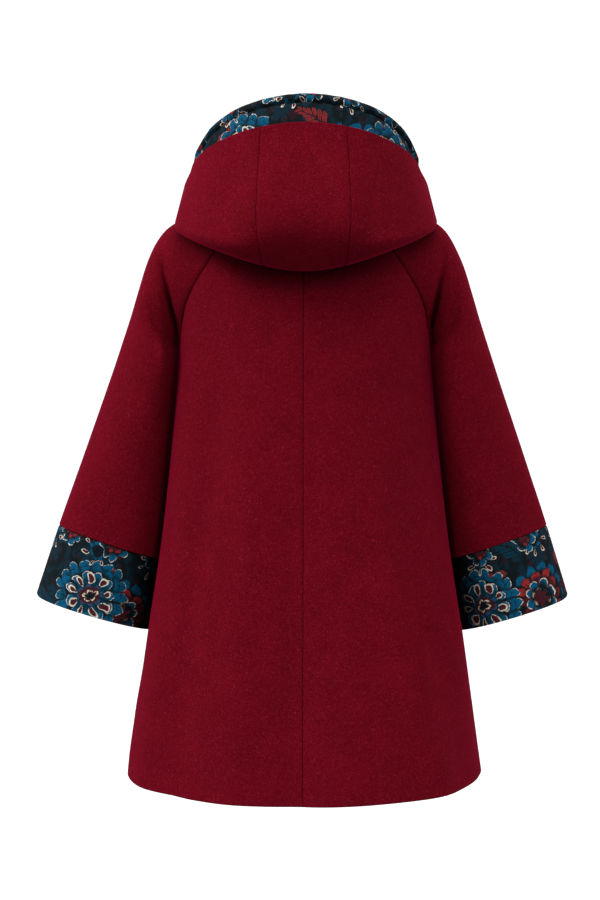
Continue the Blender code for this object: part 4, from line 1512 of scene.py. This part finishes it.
def make_surround(stage):
    """A white surround whose light comes mostly from above and behind the jacket, and from its sides."""
    world = bpy.data.worlds.new("White surround")
    world.use_nodes = True
    made = Nodes(world.node_tree)
    way = made.value("ShaderNodeTexCoord", output="Generated")
    toward = made.vector("DOT_PRODUCT", way, GLOW_WAY, output="Value")
    above = made.remap(toward, GLOW_EDGE, 1.0, stage.shade, stage.sky, "SMOOTHSTEP")
    sideways = abs(made.value("ShaderNodeSeparateXYZ", {0: way}, "X"))
    glow = above + made.remap(sideways, SIDES_EDGE, 1.0, 0.0, stage.sides, "SMOOTHSTEP")
    seen = made.value("ShaderNodeLightPath", output="Is Camera Ray")
    background = world.node_tree.nodes["Background"]
    made.feed(background.inputs["Strength"], made.remap(seen, 0.0, 1.0, glow, SEEN_WHITE))
    background.inputs["Color"].default_value = (1, 1, 1, 1)
    return world


def add_floor(stage):
    """A wide white floor that throws back less light than it shows."""
    mesh = bpy.data.meshes.new("Floor")
    angles = np.linspace(0, 2 * math.pi, FLOOR_SIDES, endpoint=False)
    edge = [(FLOOR_RADIUS * math.cos(a), FLOOR_RADIUS * math.sin(a), stage.floor_height) for a in angles]
    mesh.from_pydata(edge, [], [tuple(range(FLOOR_SIDES))])
    material, made, shader = new_material("White studio floor")
    mottle = made.noise(made.value("ShaderNodeTexCoord", output="Object"), FLOOR_MOTTLE_SCALE)
    dark, light, bounce = ((level, level, level, 1) for level in (*FLOOR_WHITES, FLOOR_BOUNCE))
    white = made.mix(mottle, dark, light)
    seen = made.value("ShaderNodeLightPath", output="Is Camera Ray")
    made.feed(shader.inputs["Base Color"], made.mix(seen, bounce, white))
    shader.inputs["Roughness"].default_value = FLOOR_ROUGHNESS
    mesh.materials.append(material)
    floor = bpy.data.objects.new("Floor", mesh)
    bpy.context.scene.collection.objects.link(floor)


def add_key(stage):
    """A round area light turned towards its target."""
    lamp = bpy.data.lights.new("Key", "AREA")
    lamp.shape = "DISK"
    lamp.size = KEY_SIZE
    lamp.energy = stage.key
    light = bpy.data.objects.new("Key", lamp)
    light.location = KEY_PLACE
    x, y, z = np.array(KEY_TARGET) - np.array(KEY_PLACE)
    light.rotation_euler = (math.pi / 2 + math.atan2(z, math.hypot(x, y)), 0, math.atan2(-x, y))
    bpy.context.scene.collection.objects.link(light)


def add_camera(stage):
    """The camera behind the jacket, level, and turned towards the neck's axis but for the camera's aside."""
    camera = bpy.data.objects.new("Camera", bpy.data.cameras.new("Camera"))
    camera.data.lens = stage.lens
    away = stage.camera_distance
    camera.location = (
        stage.camera_aside - away * math.sin(stage.camera_turn),
        away * math.cos(stage.camera_turn),
        stage.camera_height,
    )
    camera.rotation_euler = (math.pi / 2, 0, math.pi + stage.camera_turn)
    bpy.context.scene.collection.objects.link(camera)
    bpy.context.scene.camera = camera


class JACKET_PT_panel(Panel):
    """Lists the jacket's pieces and settings"""

    bl_label = "Jacket"
    bl_idname = "JACKET_PT_panel"
    bl_space_type = "VIEW_3D"
    bl_region_type = "UI"
    bl_category = "Jacket"

    def draw(self, context):
        for operator in OPERATORS:
            self.layout.operator(operator.bl_idname)
        for name in SETTINGS:
            settings = getattr(context.scene, name)
            box = self.layout.box()
            for field in type(settings).__annotations__:
                box.prop(settings, field)


OPERATORS = (
    JACKET_OT_stage,
    JACKET_OT_back,
    JACKET_OT_fronts,
    JACKET_OT_sleeves,
    JACKET_OT_cuffs,
    JACKET_OT_hood,
    JACKET_OT_hood_lining,
)
SETTINGS = {
    "jacket_cloth": ClothSettings,
    "jacket_wool": WoolSettings,
    "jacket_print": PrintSettings,
    "jacket_stage": StageSettings,
}


def register():
    for made in (*SETTINGS.values(), *OPERATORS, JACKET_PT_panel):
        bpy.utils.register_class(made)
    for name, settings in SETTINGS.items():
        setattr(bpy.types.Scene, name, PointerProperty(type=settings))


def unregister():
    for name in SETTINGS:
        delattr(bpy.types.Scene, name)
    for made in reversed((*SETTINGS.values(), *OPERATORS, JACKET_PT_panel)):
        bpy.utils.unregister_class(made)


def main():
    register()
    bpy.ops.jacket.stage()
    bpy.ops.jacket.back()
    bpy.ops.jacket.fronts()
    bpy.ops.jacket.sleeves()
    bpy.ops.jacket.cuffs()
    bpy.ops.jacket.hood()
    bpy.ops.jacket.hood_lining()


if __name__ == "__main__":
    main()
